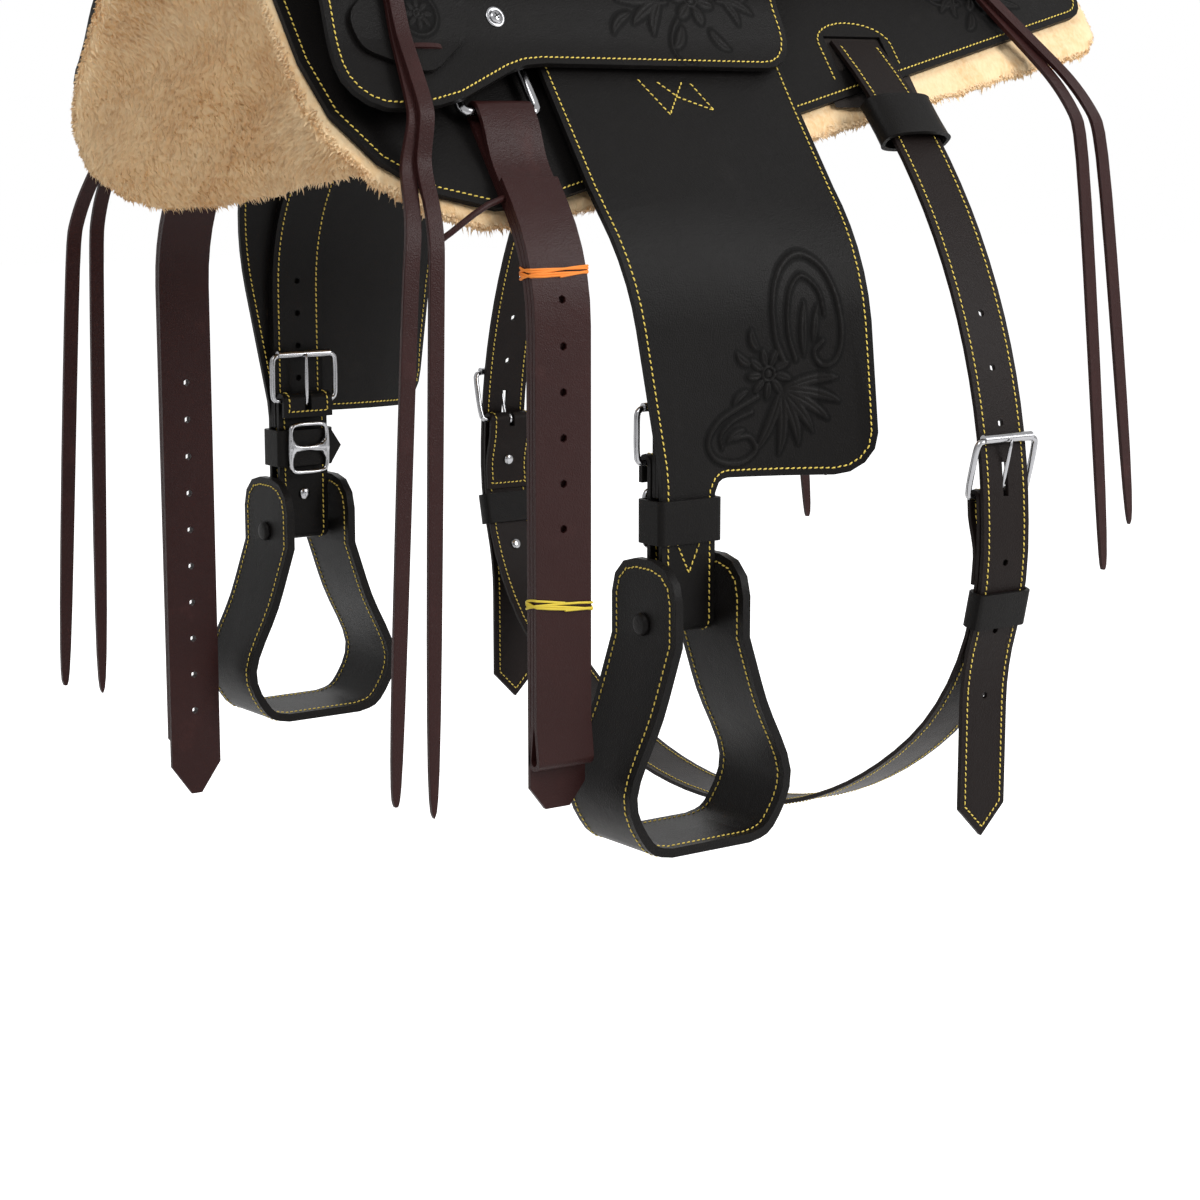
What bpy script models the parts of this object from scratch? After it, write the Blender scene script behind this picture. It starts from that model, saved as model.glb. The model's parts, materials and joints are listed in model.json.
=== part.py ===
"""Western pony saddle: tree, seat, skirts, fenders and stirrups, front latigo and flank cinch.

Near is the pony's left, at +X. The horn is towards -Y and +Z is up. The origin is on the middle plane,
where the spine line of the pony's back meets the underside.
"""
import math

import bmesh
import bpy
from mathutils import Matrix, Vector

MM = 0.001
GAP = 0.3 * MM
SIDES = {"near": 1, "off": -1}

# The pony's back: a round spine and a straight slope on each side
BACK_RADIUS = 70 * MM
BACK_SLOPE = math.radians(54)
SPINE_ARC = BACK_RADIUS * BACK_SLOPE

# Thickness of each layer
FLEECE = 12 * MM
SKIRT = 4 * MM
BAR = 18 * MM
BAR_EDGE = 8.5 * MM
STRAP = 3 * MM
FENDER = 3.5 * MM
JOCKEY = 4 * MM
SEAT = 10 * MM
COVER = 3 * MM

# Skirts, seen flat: Y along the back, S round from the spine
SKIRT_FRONT = -230 * MM
SKIRT_REAR = 440 * MM
SKIRT_DROP = 336 * MM
SKIRT_RISE = 0.284
FRONT_CORNER = 105 * MM
REAR_CORNER = 18 * MM
CHANNEL = 26 * MM
FLEECE_MARGIN = 6 * MM
FLEECE_REAR_MARGIN = 22 * MM

# Tree
BAR_FRONT = -168 * MM
BAR_REAR = 338 * MM
BAR_INNER = 34 * MM
BAR_LOWER = 150 * MM
BAR_WAIST = 112 * MM
FORK_FRONT = -206 * MM
FORK_DEPTH = 74 * MM
FORK_HEIGHT = 122 * MM
SWELL_WIDTH = 262 * MM
GULLET_WIDTH = 118 * MM
GULLET_HEIGHT = 66 * MM
CANTLE_FRONT = 262 * MM
CANTLE_THICK = 15 * MM
CANTLE_HEIGHT = 128 * MM
CANTLE_WIDTH = 290 * MM
CANTLE_LEAN = math.radians(22)
CANTLE_ROLL = 8 * MM
HORN_HEIGHT = 205 * MM
HORN_CAP = 33 * MM
HORN_NECK = 14 * MM
HORN_LEAN = math.radians(10)

# Stirrup leathers, fenders and stirrups
LEATHER_Y = -18 * MM
LEATHER_WIDTH = 41 * MM
HANG_ARC = 40 * MM
STRIP = 9.5 * MM
TURN_START = 300 * MM
TURN_LENGTH = 70 * MM
HANG_SLOPE = math.radians(90)
FENDER_FRONT = -72 * MM
FENDER_REAR = 120 * MM
FENDER_TOP = 180 * MM
FENDER_LOW = 471 * MM
FENDER_CURL = 34 * MM
BOLT_S = 549 * MM
BOLT_RADIUS = 3.9 * MM
STIRRUP_WIDTH = 126 * MM
STIRRUP_NECK = 58 * MM
STIRRUP_DROP = 137 * MM
STIRRUP_EAR = 40 * MM
STIRRUP_THICK = 6 * MM
TREAD_DEPTH = 65 * MM

# Rigging dee, latigo and off billet
RIG_Y = -111 * MM
RIG_S = 239 * MM
RIG_WIDTH = 54 * MM
RIG_HEIGHT = 58 * MM
RIG_WIRE = 3.5 * MM
RIGGING_WIDTH = 28 * MM
LATIGO_WIDTH = 40 * MM
LATIGO_TURN = 305 * MM
LATIGO_TIP = -568 * MM
LATIGO_LOOP = -541 * MM
BILLET_TIPS = (-654 * MM, -633 * MM)

# Flank cinch: a loop hanging from the slot in each skirt
FLANK_Y = 203 * MM
FLANK_WIDTH = 40 * MM
FLANK_S = 187 * MM
FLANK_REACH = 290 * MM
FLANK_DEPTH = 655 * MM
FLANK_START = math.radians(40)
FLANK_LOW = math.radians(140)
FLANK_HEEL = 326 * MM
FLANK_TIP = 556 * MM

# Saddle strings
STRING_WIDTH = 10 * MM
STRING_THICK = 3 * MM
DEE_RADIUS = 10 * MM
DEE_WIRE = 1.8 * MM

# Distances outward from the pony's back, layer on layer
N_SKIRT = FLEECE + GAP
N_BAR = N_SKIRT + SKIRT + GAP
N_INNER = N_BAR
N_OUTER = N_INNER + STRAP + GAP
N_FENDER = N_OUTER + STRAP + GAP
N_TREE = N_BAR + BAR + GAP
RIG_LOOP = RIG_WIRE + GAP + STRAP / 2
N_RIG = N_BAR + STRAP + GAP + RIG_WIRE
N_JOCKEY = N_TREE + STRAP + GAP
N_JOCKEY_LOW = N_RIG + RIG_LOOP + STRAP / 2 + 2 * GAP
N_SEAT = N_JOCKEY + JOCKEY + GAP
STRIP_LOW = N_INNER + STRAP + GAP
STRIP_HIGH = STRIP_LOW + STRIP


def clear_scene():
    for old in list(bpy.data.objects):
        bpy.data.objects.remove(old)


clear_scene()
PARTS = bpy.data.collections.new("western_pony_saddle")
CUTTERS = bpy.data.collections.new("cutters")
bpy.context.scene.collection.children.link(PARTS)
bpy.context.scene.collection.children.link(CUTTERS)


def material(name, colour, roughness, metallic=0.0):
    made = bpy.data.materials.new(name)
    made.use_nodes = True
    shader = made.node_tree.nodes["Principled BSDF"]
    shader.inputs["Base Color"].default_value = (*colour, 1.0)
    shader.inputs["Roughness"].default_value = roughness
    shader.inputs["Metallic"].default_value = metallic
    made.diffuse_color = (*colour, 1.0)
    return made


BLACK_LEATHER = material("black_leather", (0.012, 0.010, 0.009), 0.45)
BROWN_LEATHER = material("latigo_leather", (0.060, 0.020, 0.018), 0.40)
SEAT_SUEDE = material("seat_suede", (0.018, 0.015, 0.014), 0.85)
WOOL = material("fleece", (0.80, 0.66, 0.47), 0.95)
RAWHIDE = material("rawhide", (0.62, 0.50, 0.34), 0.60)
CHROME = material("chrome", (0.75, 0.75, 0.76), 0.18, 1.0)


def smoothstep(low, high, value):
    t = min(1.0, max(0.0, (value - low) / (high - low)))
    return t * t * (3 - 2 * t)


def rounded(corners, step=math.radians(24)):
    """Outline through corners (a, b, radius), each turned into an arc of that radius."""
    outline = []
    for index, (a, b, radius) in enumerate(corners):
        here = Vector((a, b))
        back = Vector(corners[index - 1][:2]) - here
        ahead = Vector(corners[(index + 1) % len(corners)][:2]) - here
        turn = math.pi - back.angle(ahead)
        reach = radius * math.tan(turn / 2)
        if radius <= 0 or turn < 0.01:
            outline.append(here)
            continue
        start = here + back.normalized() * reach
        centre = here + (back.normalized() + ahead.normalized()).normalized() * radius / math.cos(turn / 2)
        sweep = math.copysign(turn, back.x * ahead.y - back.y * ahead.x)
        count = max(1, math.ceil(turn / step))
        for k in range(count + 1):
            spun = Matrix.Rotation(-sweep * k / count, 2) @ (start - centre)
            outline.append(centre + spun)
    return outline


def spaced(low, high, count):
    """Values that split the stretch from low to high into count parts, ends left out."""
    return [low + (high - low) * k / count for k in range(1, count)]


def add_object(name, mesh, look, collection=PARTS):
    made = bpy.data.objects.new(name, mesh)
    collection.objects.link(made)
    if look:
        mesh.materials.append(look)
    if collection is CUTTERS:
        made.hide_render = True
        made.display_type = "WIRE"
    return made


def panel(name, outline, cuts, place, look, collection=PARTS, flat=False):
    """Flat pattern cut along the lines in cuts, raised to a slab, and bent by place(a, b, t)."""
    bm = bmesh.new()
    bm.faces.new([bm.verts.new((a, b, 0.0)) for a, b in outline])
    for axis, values in enumerate(cuts):
        normal = (1, 0, 0) if axis == 0 else (0, 1, 0)
        for value in values:
            bmesh.ops.bisect_plane(bm, geom=bm.verts[:] + bm.edges[:] + bm.faces[:], dist=1e-6,
                                   plane_co=(value * normal[0], value * normal[1], 0), plane_no=normal)
    raised = bmesh.ops.extrude_face_region(bm, geom=bm.faces[:])["geom"]
    for item in raised:
        if isinstance(item, bmesh.types.BMVert):
            item.co.z = 1.0
    for vert in bm.verts:
        vert.co = place(*vert.co)
    if not flat:
        bmesh.ops.connect_verts_nonplanar(bm, angle_limit=math.radians(0.5), faces=bm.faces[:])
    bmesh.ops.recalc_face_normals(bm, faces=bm.faces)
    mesh = bpy.data.meshes.new(name)
    bm.to_mesh(mesh)
    bm.free()
    return add_object(name, mesh, look, collection)


def cut(target, cutter, operation="DIFFERENCE"):
    boolean = target.modifiers.new("cut", "BOOLEAN")
    boolean.object = cutter
    boolean.operation = operation
    return target


def applied(target):
    """The object with its modifiers or its curve turned into plain mesh, caps welded."""
    bpy.context.view_layer.update()
    mesh = bpy.data.meshes.new_from_object(target.evaluated_get(bpy.context.evaluated_depsgraph_get()))
    bm = bmesh.new()
    bm.from_mesh(mesh)
    bmesh.ops.remove_doubles(bm, verts=bm.verts, dist=1e-6)
    bm.to_mesh(mesh)
    bm.free()
    name, collection = target.name, target.users_collection[0]
    matrix = target.matrix_world.copy()
    bpy.data.objects.remove(target)
    made = add_object(name, mesh, None, collection)
    made.matrix_world = matrix
    return made


def wire(name, points, radius, look, closed=False, collection=PARTS, resolution=2):
    curve = bpy.data.curves.new(name, "CURVE")
    curve.dimensions = "3D"
    curve.bevel_depth = radius
    curve.bevel_resolution = resolution
    curve.use_fill_caps = True
    spline = curve.splines.new("POLY")
    spline.points.add(len(points) - 1)
    for point, place in zip(spline.points, points):
        point.co = (*place, 1.0)
    spline.use_cyclic_u = closed
    made = bpy.data.objects.new(name, curve)
    collection.objects.link(made)
    if look:
        curve.materials.append(look)
    if collection is CUTTERS:
        made.hide_render = True
        made.display_type = "WIRE"
    return made


def turned(name, profile, look, frame, steps=20, collection=PARTS):
    """Profile (radius, height) turned about Z with Screw, then put in place by frame."""
    mesh = bpy.data.meshes.new(name)
    mesh.from_pydata([(r, 0.0, h) for r, h in profile], [(k, k + 1) for k in range(len(profile) - 1)], [])
    made = add_object(name, mesh, look, collection)
    made.matrix_world = frame
    screw = made.modifiers.new("turn", "SCREW")
    screw.angle = math.tau
    screw.steps = steps
    screw.render_steps = steps
    screw.use_merge_vertices = True
    screw.merge_threshold = 0.00001
    return made


def carried(name, centre, children):
    """Empty on a joint's axis that carries the pieces moving with it."""
    empty = bpy.data.objects.new(name, None)
    PARTS.objects.link(empty)
    empty.location = centre
    empty.empty_display_size = 0.03
    for child in children:
        child.parent = empty
        child.matrix_parent_inverse = Matrix.Translation(-Vector(centre))
    return empty


# Places on the pony's back and on the line that a fender hangs along

def bend(arcs, s):
    """Point (x, z) and slope at distance s along joined arcs, each (length, slope at its end)."""
    x = z = slope = 0.0
    for length, end in arcs:
        run = min(s, length)
        turn = (end - slope) * run / length
        if abs(turn) > 1e-7:
            radius = run / turn
            x += radius * (math.sin(slope + turn) - math.sin(slope))
            z += radius * (math.cos(slope + turn) - math.cos(slope))
        else:
            x += run * math.cos(slope)
            z -= run * math.sin(slope)
        slope += turn
        s -= run
        if s <= 1e-9:
            break
    return x, z, slope


BACK_LINE = [(SPINE_ARC, BACK_SLOPE), (10.0, BACK_SLOPE)]
FENDER_LINE = [(SPINE_ARC, BACK_SLOPE), (TURN_START - SPINE_ARC, BACK_SLOPE),
               (TURN_LENGTH, HANG_SLOPE), (10.0, HANG_SLOPE)]


def over(line, s, n):
    """(x, z) at distance s round from the spine and n outward from the line."""
    x, z, slope = bend(line, abs(s))
    x += n * math.sin(slope)
    return -x if s < 0 else x, z + n * math.cos(slope)


def on_back(y, s, n, side=1):
    x, z = over(BACK_LINE, s, n)
    return Vector((side * x, y, z))


def slope_frame(y, s, n, side=1):
    """Frame on the slope: Z outward, Y up the slope, X along the back."""
    outward = Vector((side * math.sin(BACK_SLOPE), 0, math.cos(BACK_SLOPE)))
    up = Vector((-side * math.cos(BACK_SLOPE), 0, math.sin(BACK_SLOPE)))
    frame = Matrix((up.cross(outward), up, outward)).transposed().to_4x4()
    frame.translation = on_back(y, s, n, side)
    return frame


CROWN_LINES = spaced(-SPINE_ARC, SPINE_ARC, 16)
BEND_LINES = [-SPINE_ARC, *CROWN_LINES, SPINE_ARC]


class Run:
    """A smooth line through (x, z) points, read by the distance along it."""

    def __init__(self, points):
        self.points = [Vector(p) for p in points]
        self.at = [0.0]
        for first, second in zip(self.points, self.points[1:]):
            self.at.append(self.at[-1] + (second - first).length)
        self.length = self.at[-1]
        ways = [(b - a).normalized() for a, b in zip(self.points, self.points[1:])]
        self.normals = []
        for k in range(len(self.points)):
            before = ways[max(0, k - 1)]
            after = ways[min(k, len(ways) - 1)]
            middle = (before + after).normalized()
            scale = 1 / max(0.5, middle.dot(before))
            self.normals.append(Vector((-middle.y, middle.x)) * scale)

    def place(self, distance, offset):
        """(x, z) at a distance along, moved sideways by offset: to the left of the way it runs."""
        distance = min(self.length, max(0.0, distance))
        k = 0
        while k < len(self.at) - 2 and distance > self.at[k + 1]:
            k += 1
        t = (distance - self.at[k]) / (self.at[k + 1] - self.at[k])
        normal = self.normals[k].lerp(self.normals[k + 1], t)
        return self.points[k].lerp(self.points[k + 1], t) + normal * offset


def curved(points, parts=4):
    """Points along a smooth curve through the given ones."""
    given = [Vector(p) for p in points]
    made = []
    for k in range(len(given) - 1):
        before = given[max(0, k - 1)]
        after = given[min(len(given) - 1, k + 2)]
        first = (given[k + 1] - before) / 2
        last = (after - given[k]) / 2
        for step in range(parts):
            t = step / parts
            made.append(given[k] * (2 * t**3 - 3 * t**2 + 1) + first * (t**3 - 2 * t**2 + t)
                        + given[k + 1] * (3 * t**2 - 2 * t**3) + last * (t**3 - t**2))
    made.append(given[-1])
    return made


def arc_points(centre, radius, start, end, count):
    """Points of an arc about centre from angle start to end."""
    return [Vector((centre[0] + radius * math.cos(start + (end - start) * k / count),
                    centre[1] + radius * math.sin(start + (end - start) * k / count)))
            for k in range(count + 1)]


def strap(name, run, y, width, thickness, side, look, tips=(0.0, 0.0), shift=None):
    """Strap along run in an upright plane at y, its ends pointed by the lengths in tips."""
    half = width / 2
    outline = [(0.0, -half + min(half, tips[0]) * 0.8), (tips[0], -half)] if tips[0] else [(0.0, -half)]
    outline += [(run.length - tips[1], -half)]
    outline += [(run.length, 0.0)] if tips[1] else []
    outline += [(run.length - tips[1], half)]
    outline += [(tips[0], half), (0.0, half - min(half, tips[0]) * 0.8)] if tips[0] else [(0.0, half)]

    def place(a, b, t):
        x, z = run.place(a, (t - 0.5) * thickness)
        return Vector((side * x, y + b + (shift(a) if shift else 0.0), z))

    return panel(name, outline, (run.at[1:-1], ()), place, look)


def punch(target, name, run, y, places, radius, side, lift=0.0, depth=6 * MM):
    """Row of round holes through a strap at distances along its run."""
    bm = bmesh.new()
    for distance in places:
        x, z = run.place(distance, lift)
        ahead = run.place(distance + 0.5 * MM, lift) - Vector((x, z))
        outward = Vector((-ahead.y * side, 0, ahead.x)).normalized()
        turn = outward.to_track_quat("Z", "Y").to_matrix().to_4x4()
        turn.translation = Vector((side * x, y, z))
        bmesh.ops.create_cone(bm, cap_ends=True, segments=6, radius1=radius, radius2=radius,
                              depth=depth, matrix=turn)
    mesh = bpy.data.meshes.new(name)
    bm.to_mesh(mesh)
    bm.free()
    return cut(target, add_object(name, mesh, None, CUTTERS))


# Tree: two bars, the fork with its horn, and the cantle

def bar_lower(y):
    return BAR_LOWER - (BAR_LOWER - BAR_WAIST) * smoothstep(122 * MM, 160 * MM, y)


def bar_top(y, s):
    """Outer face of a bar, thinner along its lower edge and at its rear tip."""
    low = bar_lower(y)
    thin = (BAR - BAR_EDGE) * smoothstep(low - 34 * MM, low, s)
    tip = (BAR - BAR_EDGE) * smoothstep(BAR_REAR - 45 * MM, BAR_REAR, y)
    return N_BAR + BAR - max(thin, tip)


def cantle_plane(z):
    """Y of the cantle's front face at height z."""
    return CANTLE_FRONT + (z - CANTLE_HEIGHT) * math.tan(CANTLE_LEAN)


def leather_groove(side):
    """Cutters that let a stirrup leather round the hanger strip of a bar and swing there."""
    half = LEATHER_WIDTH / 2 + 12.5 * MM
    crown = BAR_LOWER - HANG_ARC
    reach = math.asin(half / HANG_ARC)
    arc = [(LEATHER_Y + HANG_ARC * math.sin(k), BAR_LOWER - HANG_ARC * math.cos(k))
           for k in [reach - 2 * reach * step / 8 for step in range(9)]]
    top = crown - 12 * MM
    slot = [(LEATHER_Y - half, top), (LEATHER_Y + half, top)] + arc

    def groove(wide):
        return [(LEATHER_Y - wide, top - 1 * MM), (LEATHER_Y + wide, top - 1 * MM),
                (LEATHER_Y + wide, BAR_LOWER + 4 * MM), (LEATHER_Y - wide, BAR_LOWER + 4 * MM)]

    levels = {"slot": (slot, N_BAR - 3 * MM, N_TREE + 3 * MM),
              "under": (groove(half + 0.6 * MM), N_BAR - 2 * MM, STRIP_LOW),
              "over": (groove(half + 1.2 * MM), STRIP_HIGH, N_TREE + 2 * MM)}
    return [panel(f"bar_{key}_cut_{side}", outline, ((), ()),
                  lambda y, s, t, low=low, high=high: on_back(y, s, low + (high - low) * t, side), None, CUTTERS)
            for key, (outline, low, high) in levels.items()]


def build_bars():
    for word, side in SIDES.items():
        outline = rounded([(BAR_FRONT, BAR_INNER, 14 * MM), (BAR_FRONT, BAR_LOWER, 32 * MM),
                           (118 * MM, BAR_LOWER, 26 * MM), (164 * MM, BAR_WAIST, 30 * MM),
                           (BAR_REAR, BAR_WAIST, 34 * MM), (BAR_REAR, BAR_INNER, 14 * MM)])
        lines = [s for s in BEND_LINES if s > BAR_INNER]
        lines += [BAR_WAIST - 34 * MM, BAR_WAIST - 17 * MM, BAR_LOWER - 34 * MM, BAR_LOWER - 17 * MM]
        across = [122 * MM, 141 * MM, 160 * MM, BAR_REAR - 45 * MM, BAR_REAR - 20 * MM]
        bar = panel(f"tree_bar_{word}", outline, (across, lines),
                    lambda y, s, t: on_back(y, s, N_BAR + (bar_top(y, s) - N_BAR) * t, side), RAWHIDE)
        for cutter in leather_groove(side):
            cut(bar, cutter)


def grown(outline, by):
    """Closed outline moved outward by a distance."""
    area = sum(a.x * b.y - a.y * b.x for a, b in zip(outline, outline[1:] + outline[:1]))
    out = []
    for k, here in enumerate(outline):
        before = (here - outline[k - 1]).normalized()
        after = (outline[(k + 1) % len(outline)] - here).normalized()
        middle = (before + after).normalized()
        out.append(here + Vector((middle.y, -middle.x)) * math.copysign(by, area) / max(0.5, middle.dot(before)))
    return out


FORK_Y = FORK_FRONT + FORK_DEPTH / 2
HORN_SOCKET = 5 * MM
HORN_FOOT = 22 * MM


def fork_body(name, grow, look, collection=PARTS):
    """Fork seen from the front, drawn as one half and mirrored, with both faces rounded over."""
    foot = [over(BACK_LINE, s, N_TREE - 30 * MM) for s in (SPINE_ARC, 124 * MM)]
    half = [(*foot[0], 0), (*foot[1], 0),
            (SWELL_WIDTH / 2 + 6 * MM, 36 * MM, 52 * MM), (92 * MM, FORK_HEIGHT - 3 * MM, 56 * MM),
            (30 * MM, FORK_HEIGHT, 10 * MM)]
    arch = [(-GULLET_WIDTH / 2 + 14 * MM, GULLET_HEIGHT, 34 * MM), (GULLET_WIDTH / 2 - 14 * MM, GULLET_HEIGHT, 34 * MM)]
    corners = half + [(-x, z, r) for x, z, r in reversed(half)] + arch
    outline = grown(rounded(corners), grow)

    def place(x, z, t):
        return Vector((x, FORK_FRONT - grow + (FORK_DEPTH + 2 * grow) * t, z))

    body = panel(name, outline, ((), ()), place, look, collection, flat=True)
    bevel = body.modifiers.new("rounded faces", "BEVEL")
    bevel.width = 12 * MM + grow
    bevel.segments = 2
    bevel.limit_method = "ANGLE"
    bevel.angle_limit = math.radians(60)
    return body


def horn_frame():
    frame = Matrix.Rotation(HORN_LEAN, 4, "X")
    frame.translation = Vector((0, FORK_Y, FORK_HEIGHT - HORN_SOCKET))
    return frame


def build_fork_and_horn():
    cap = HORN_HEIGHT - FORK_HEIGHT + HORN_SOCKET
    socket = turned("horn_socket_cut", [(0, 45 * MM), (HORN_FOOT + GAP, 45 * MM), (HORN_FOOT + GAP, -GAP), (0, -GAP)],
                    None, horn_frame(), collection=CUTTERS)
    fork = cut(fork_body("tree_fork", 0.0, RAWHIDE), socket)
    cover = fork_body("fork_cover", COVER + GAP, BLACK_LEATHER)
    cut(cover, fork_body("fork_cover_hollow", GAP, None, CUTTERS))
    cut(cover, socket)
    half = 150 * MM
    under = [(FORK_FRONT - 20 * MM, -half), (FORK_FRONT + FORK_DEPTH + 20 * MM, -half),
             (FORK_FRONT + FORK_DEPTH + 20 * MM, half), (FORK_FRONT - 20 * MM, half)]
    for body, top in ((fork, N_TREE), (cover, N_TREE + GAP)):
        cut(body, panel(f"{body.name}_foot_cut", under, ((), BEND_LINES),
                        lambda y, s, t, top=top: on_back(y, s, -40 * MM + (top + 40 * MM) * t), None, CUTTERS))
    turned("horn_core", [(0, cap), (HORN_CAP - 2 * MM, cap), (HORN_CAP, cap - 3 * MM), (HORN_CAP, cap - 8 * MM),
                         (HORN_CAP - 3 * MM, cap - 11 * MM), (HORN_NECK + 3 * MM, cap - 18 * MM),
                         (HORN_NECK, cap - 32 * MM), (HORN_NECK + 1 * MM, cap - 52 * MM),
                         (HORN_FOOT - 3 * MM, 12 * MM), (HORN_FOOT, 5 * MM), (HORN_FOOT, 0), (0, 0)],
           RAWHIDE, horn_frame())
    inner = HORN_CAP + GAP
    outer = inner + COVER
    low = cap - 9 * MM
    turned("horn_cover", [(0, cap + GAP + COVER), (outer - 3 * MM, cap + GAP + COVER), (outer, cap - 1 * MM),
                          (outer, low), (inner, low), (inner, cap - 3 * MM + GAP), (inner - 2 * MM, cap + GAP),
                          (0, cap + GAP)], BLACK_LEATHER, horn_frame())


def cantle_edge(count, grow=0.0):
    """Top edge of the cantle, from near to off."""
    foot = -5 * MM
    return [Vector(((CANTLE_WIDTH / 2 + grow) * math.cos(math.pi * k / count),
                    foot + (CANTLE_HEIGHT - foot + grow) * math.sin(math.pi * k / count)))
            for k in range(count + 1)]


def build_cantle():
    seat_line = [Vector(over(BACK_LINE, s, N_TREE)) for s in (-100 * MM, *BEND_LINES, 100 * MM)]
    outline = cantle_edge(20) + seat_line
    panel("tree_cantle", outline, ((), ()),
          lambda x, z, t: Vector((x, cantle_plane(z) + CANTLE_THICK * t, z)), RAWHIDE)
    reach = CANTLE_ROLL + GAP + 0.4 * MM
    wire("cantle_roll", [(x, cantle_plane(z) + CANTLE_THICK / 2, z) for x, z in cantle_edge(22, reach)],
         CANTLE_ROLL, BLACK_LEATHER)


# Seat on the tree

SEAT_FRONT = FORK_FRONT + FORK_DEPTH + COVER + 5 * MM
SEAT_HALF = CANTLE_WIDTH / 2 - 3 * CANTLE_THICK
SEAT_DIP = 110 * MM


def seat_base(y, s):
    """Underside of the seat, rising to the fork in front and up the cantle behind."""
    rear = max(0.0, (y - SEAT_DIP) / (CANTLE_FRONT - SEAT_DIP)) ** 2
    front = max(0.0, (20 * MM - y) / (20 * MM - SEAT_FRONT)) ** 2
    edge = N_SEAT + 30 * MM * rear
    crown = 12 * MM + 30 * MM * rear + 22 * MM * front
    return edge + crown * (1 - min(1.0, abs(s) / SEAT_HALF) ** 2)


def against_cantle(point):
    """Draw a point of the seat back so that its rear edge meets the leaning cantle."""
    start = 120 * MM
    if point.y > start:
        share = (point.y - start) / (CANTLE_FRONT - start)
        point.y = start + share * (cantle_plane(point.z) - GAP - start)
    return point


def build_seat():
    across = [*spaced(SEAT_FRONT, SEAT_DIP, 4), SEAT_DIP, *spaced(SEAT_DIP, CANTLE_FRONT, 4)]
    lines = [-84 * MM, *BEND_LINES, 84 * MM]
    ground = rounded([(SEAT_FRONT + 4 * MM, -70 * MM, 10 * MM), (SEAT_FRONT + 4 * MM, 70 * MM, 10 * MM),
                      (30 * MM, 88 * MM, 40 * MM), (CANTLE_FRONT, 88 * MM, 2 * MM),
                      (CANTLE_FRONT, -88 * MM, 2 * MM), (30 * MM, -88 * MM, 40 * MM)])

    def place_ground(y, s, t):
        top = seat_base(y, s) - 4 * GAP
        return against_cantle(on_back(y, s, N_TREE + (top - N_TREE) * t))

    panel("ground_seat", ground, (across, lines), place_ground, RAWHIDE)
    pad = rounded([(SEAT_FRONT, -80 * MM, 22 * MM), (SEAT_FRONT, 80 * MM, 22 * MM),
                   (30 * MM, SEAT_HALF, 60 * MM), (CANTLE_FRONT, SEAT_HALF, 4 * MM),
                   (CANTLE_FRONT, -SEAT_HALF, 4 * MM), (30 * MM, -SEAT_HALF, 60 * MM)])

    def place_pad(y, s, t):
        return against_cantle(on_back(y, s, seat_base(y, s) + SEAT * t))

    seat = panel("seat", pad, (across, lines), place_pad, SEAT_SUEDE)
    bevel = seat.modifiers.new("rolled edge", "BEVEL")
    bevel.width = 3 * MM
    bevel.segments = 2
    bevel.limit_method = "ANGLE"
    bevel.angle_limit = math.radians(50)


# Fleece, skirts and jockeys

def skirt_outline(margin, rear_margin):
    front = SKIRT_FRONT - margin
    rear = SKIRT_REAR + margin + rear_margin / 3
    low_rear = SKIRT_DROP - SKIRT_RISE * (SKIRT_REAR - SKIRT_FRONT) + rear_margin
    middle = GAP / 2
    return rounded([(front + 14 * MM, CHANNEL, 10 * MM), (front, 110 * MM, 60 * MM),
                    (front, SKIRT_DROP + margin, FRONT_CORNER + margin),
                    (rear, low_rear + margin / 2, REAR_CORNER + rear_margin / 2),
                    (rear - 8 * MM, 95 * MM, 40 * MM), (rear - 30 * MM, middle, 8 * MM),
                    (330 * MM, middle, 20 * MM), (285 * MM, CHANNEL, 25 * MM)])


def flank_slot(side):
    """Slot that the flank billet comes out of, its lower edge arched so that the strap can tilt."""
    half = FLANK_WIDTH / 2 + 5 * MM
    arch = 25 * MM
    lower = [(FLANK_Y + arch * math.sin(k), FLANK_S + 2.6 * MM + arch - arch * math.cos(k))
             for k in [math.radians(54 - 108 * step / 8) for step in range(9)]]
    top = FLANK_S - 15 * MM
    outline = [(FLANK_Y - half, top), (FLANK_Y + half, top), (FLANK_Y + half, lower[0][1]), *lower,
               (FLANK_Y - half, lower[-1][1])]
    return panel(f"flank_slot_cut_{side}", outline, ((), ()),
                 lambda y, s, t: on_back(y, s, N_SKIRT - GAP / 2 + (SKIRT + 3 * MM) * t, side), None, CUTTERS)


def build_skirts():
    crown = [s for s in BEND_LINES if s > 0]
    for word, side in SIDES.items():
        panel(f"fleece_{word}", skirt_outline(FLEECE_MARGIN, FLEECE_REAR_MARGIN), ((), crown),
              lambda y, s, t: on_back(y, s, FLEECE * t, side), WOOL)
        skirt = panel(f"skirt_{word}", skirt_outline(0.0, 0.0), ((), crown),
                      lambda y, s, t: on_back(y, s, N_SKIRT + SKIRT * t, side), BLACK_LEATHER)
        cut(skirt, flank_slot(side))


def jockey_base(s):
    """Underside of a jockey: over the bar and the rigging, then down over the fender and the dee."""
    return N_JOCKEY - (N_JOCKEY - N_JOCKEY_LOW) * smoothstep(160 * MM, 205 * MM, s)


def rear_jockey_base(y, s):
    edge = bar_lower(y)
    lift = (1 - smoothstep(edge - 10 * MM, edge + 24 * MM, abs(s))) * (1 - smoothstep(330 * MM, 384 * MM, y))
    return N_BAR + (N_TREE - N_BAR) * lift


FALL_LINES = [100 * MM + 40 * MM * k / 5 for k in range(6)]
DRAPE_LINES = [160 * MM + 45 * MM * k / 6 for k in range(7)]


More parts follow.
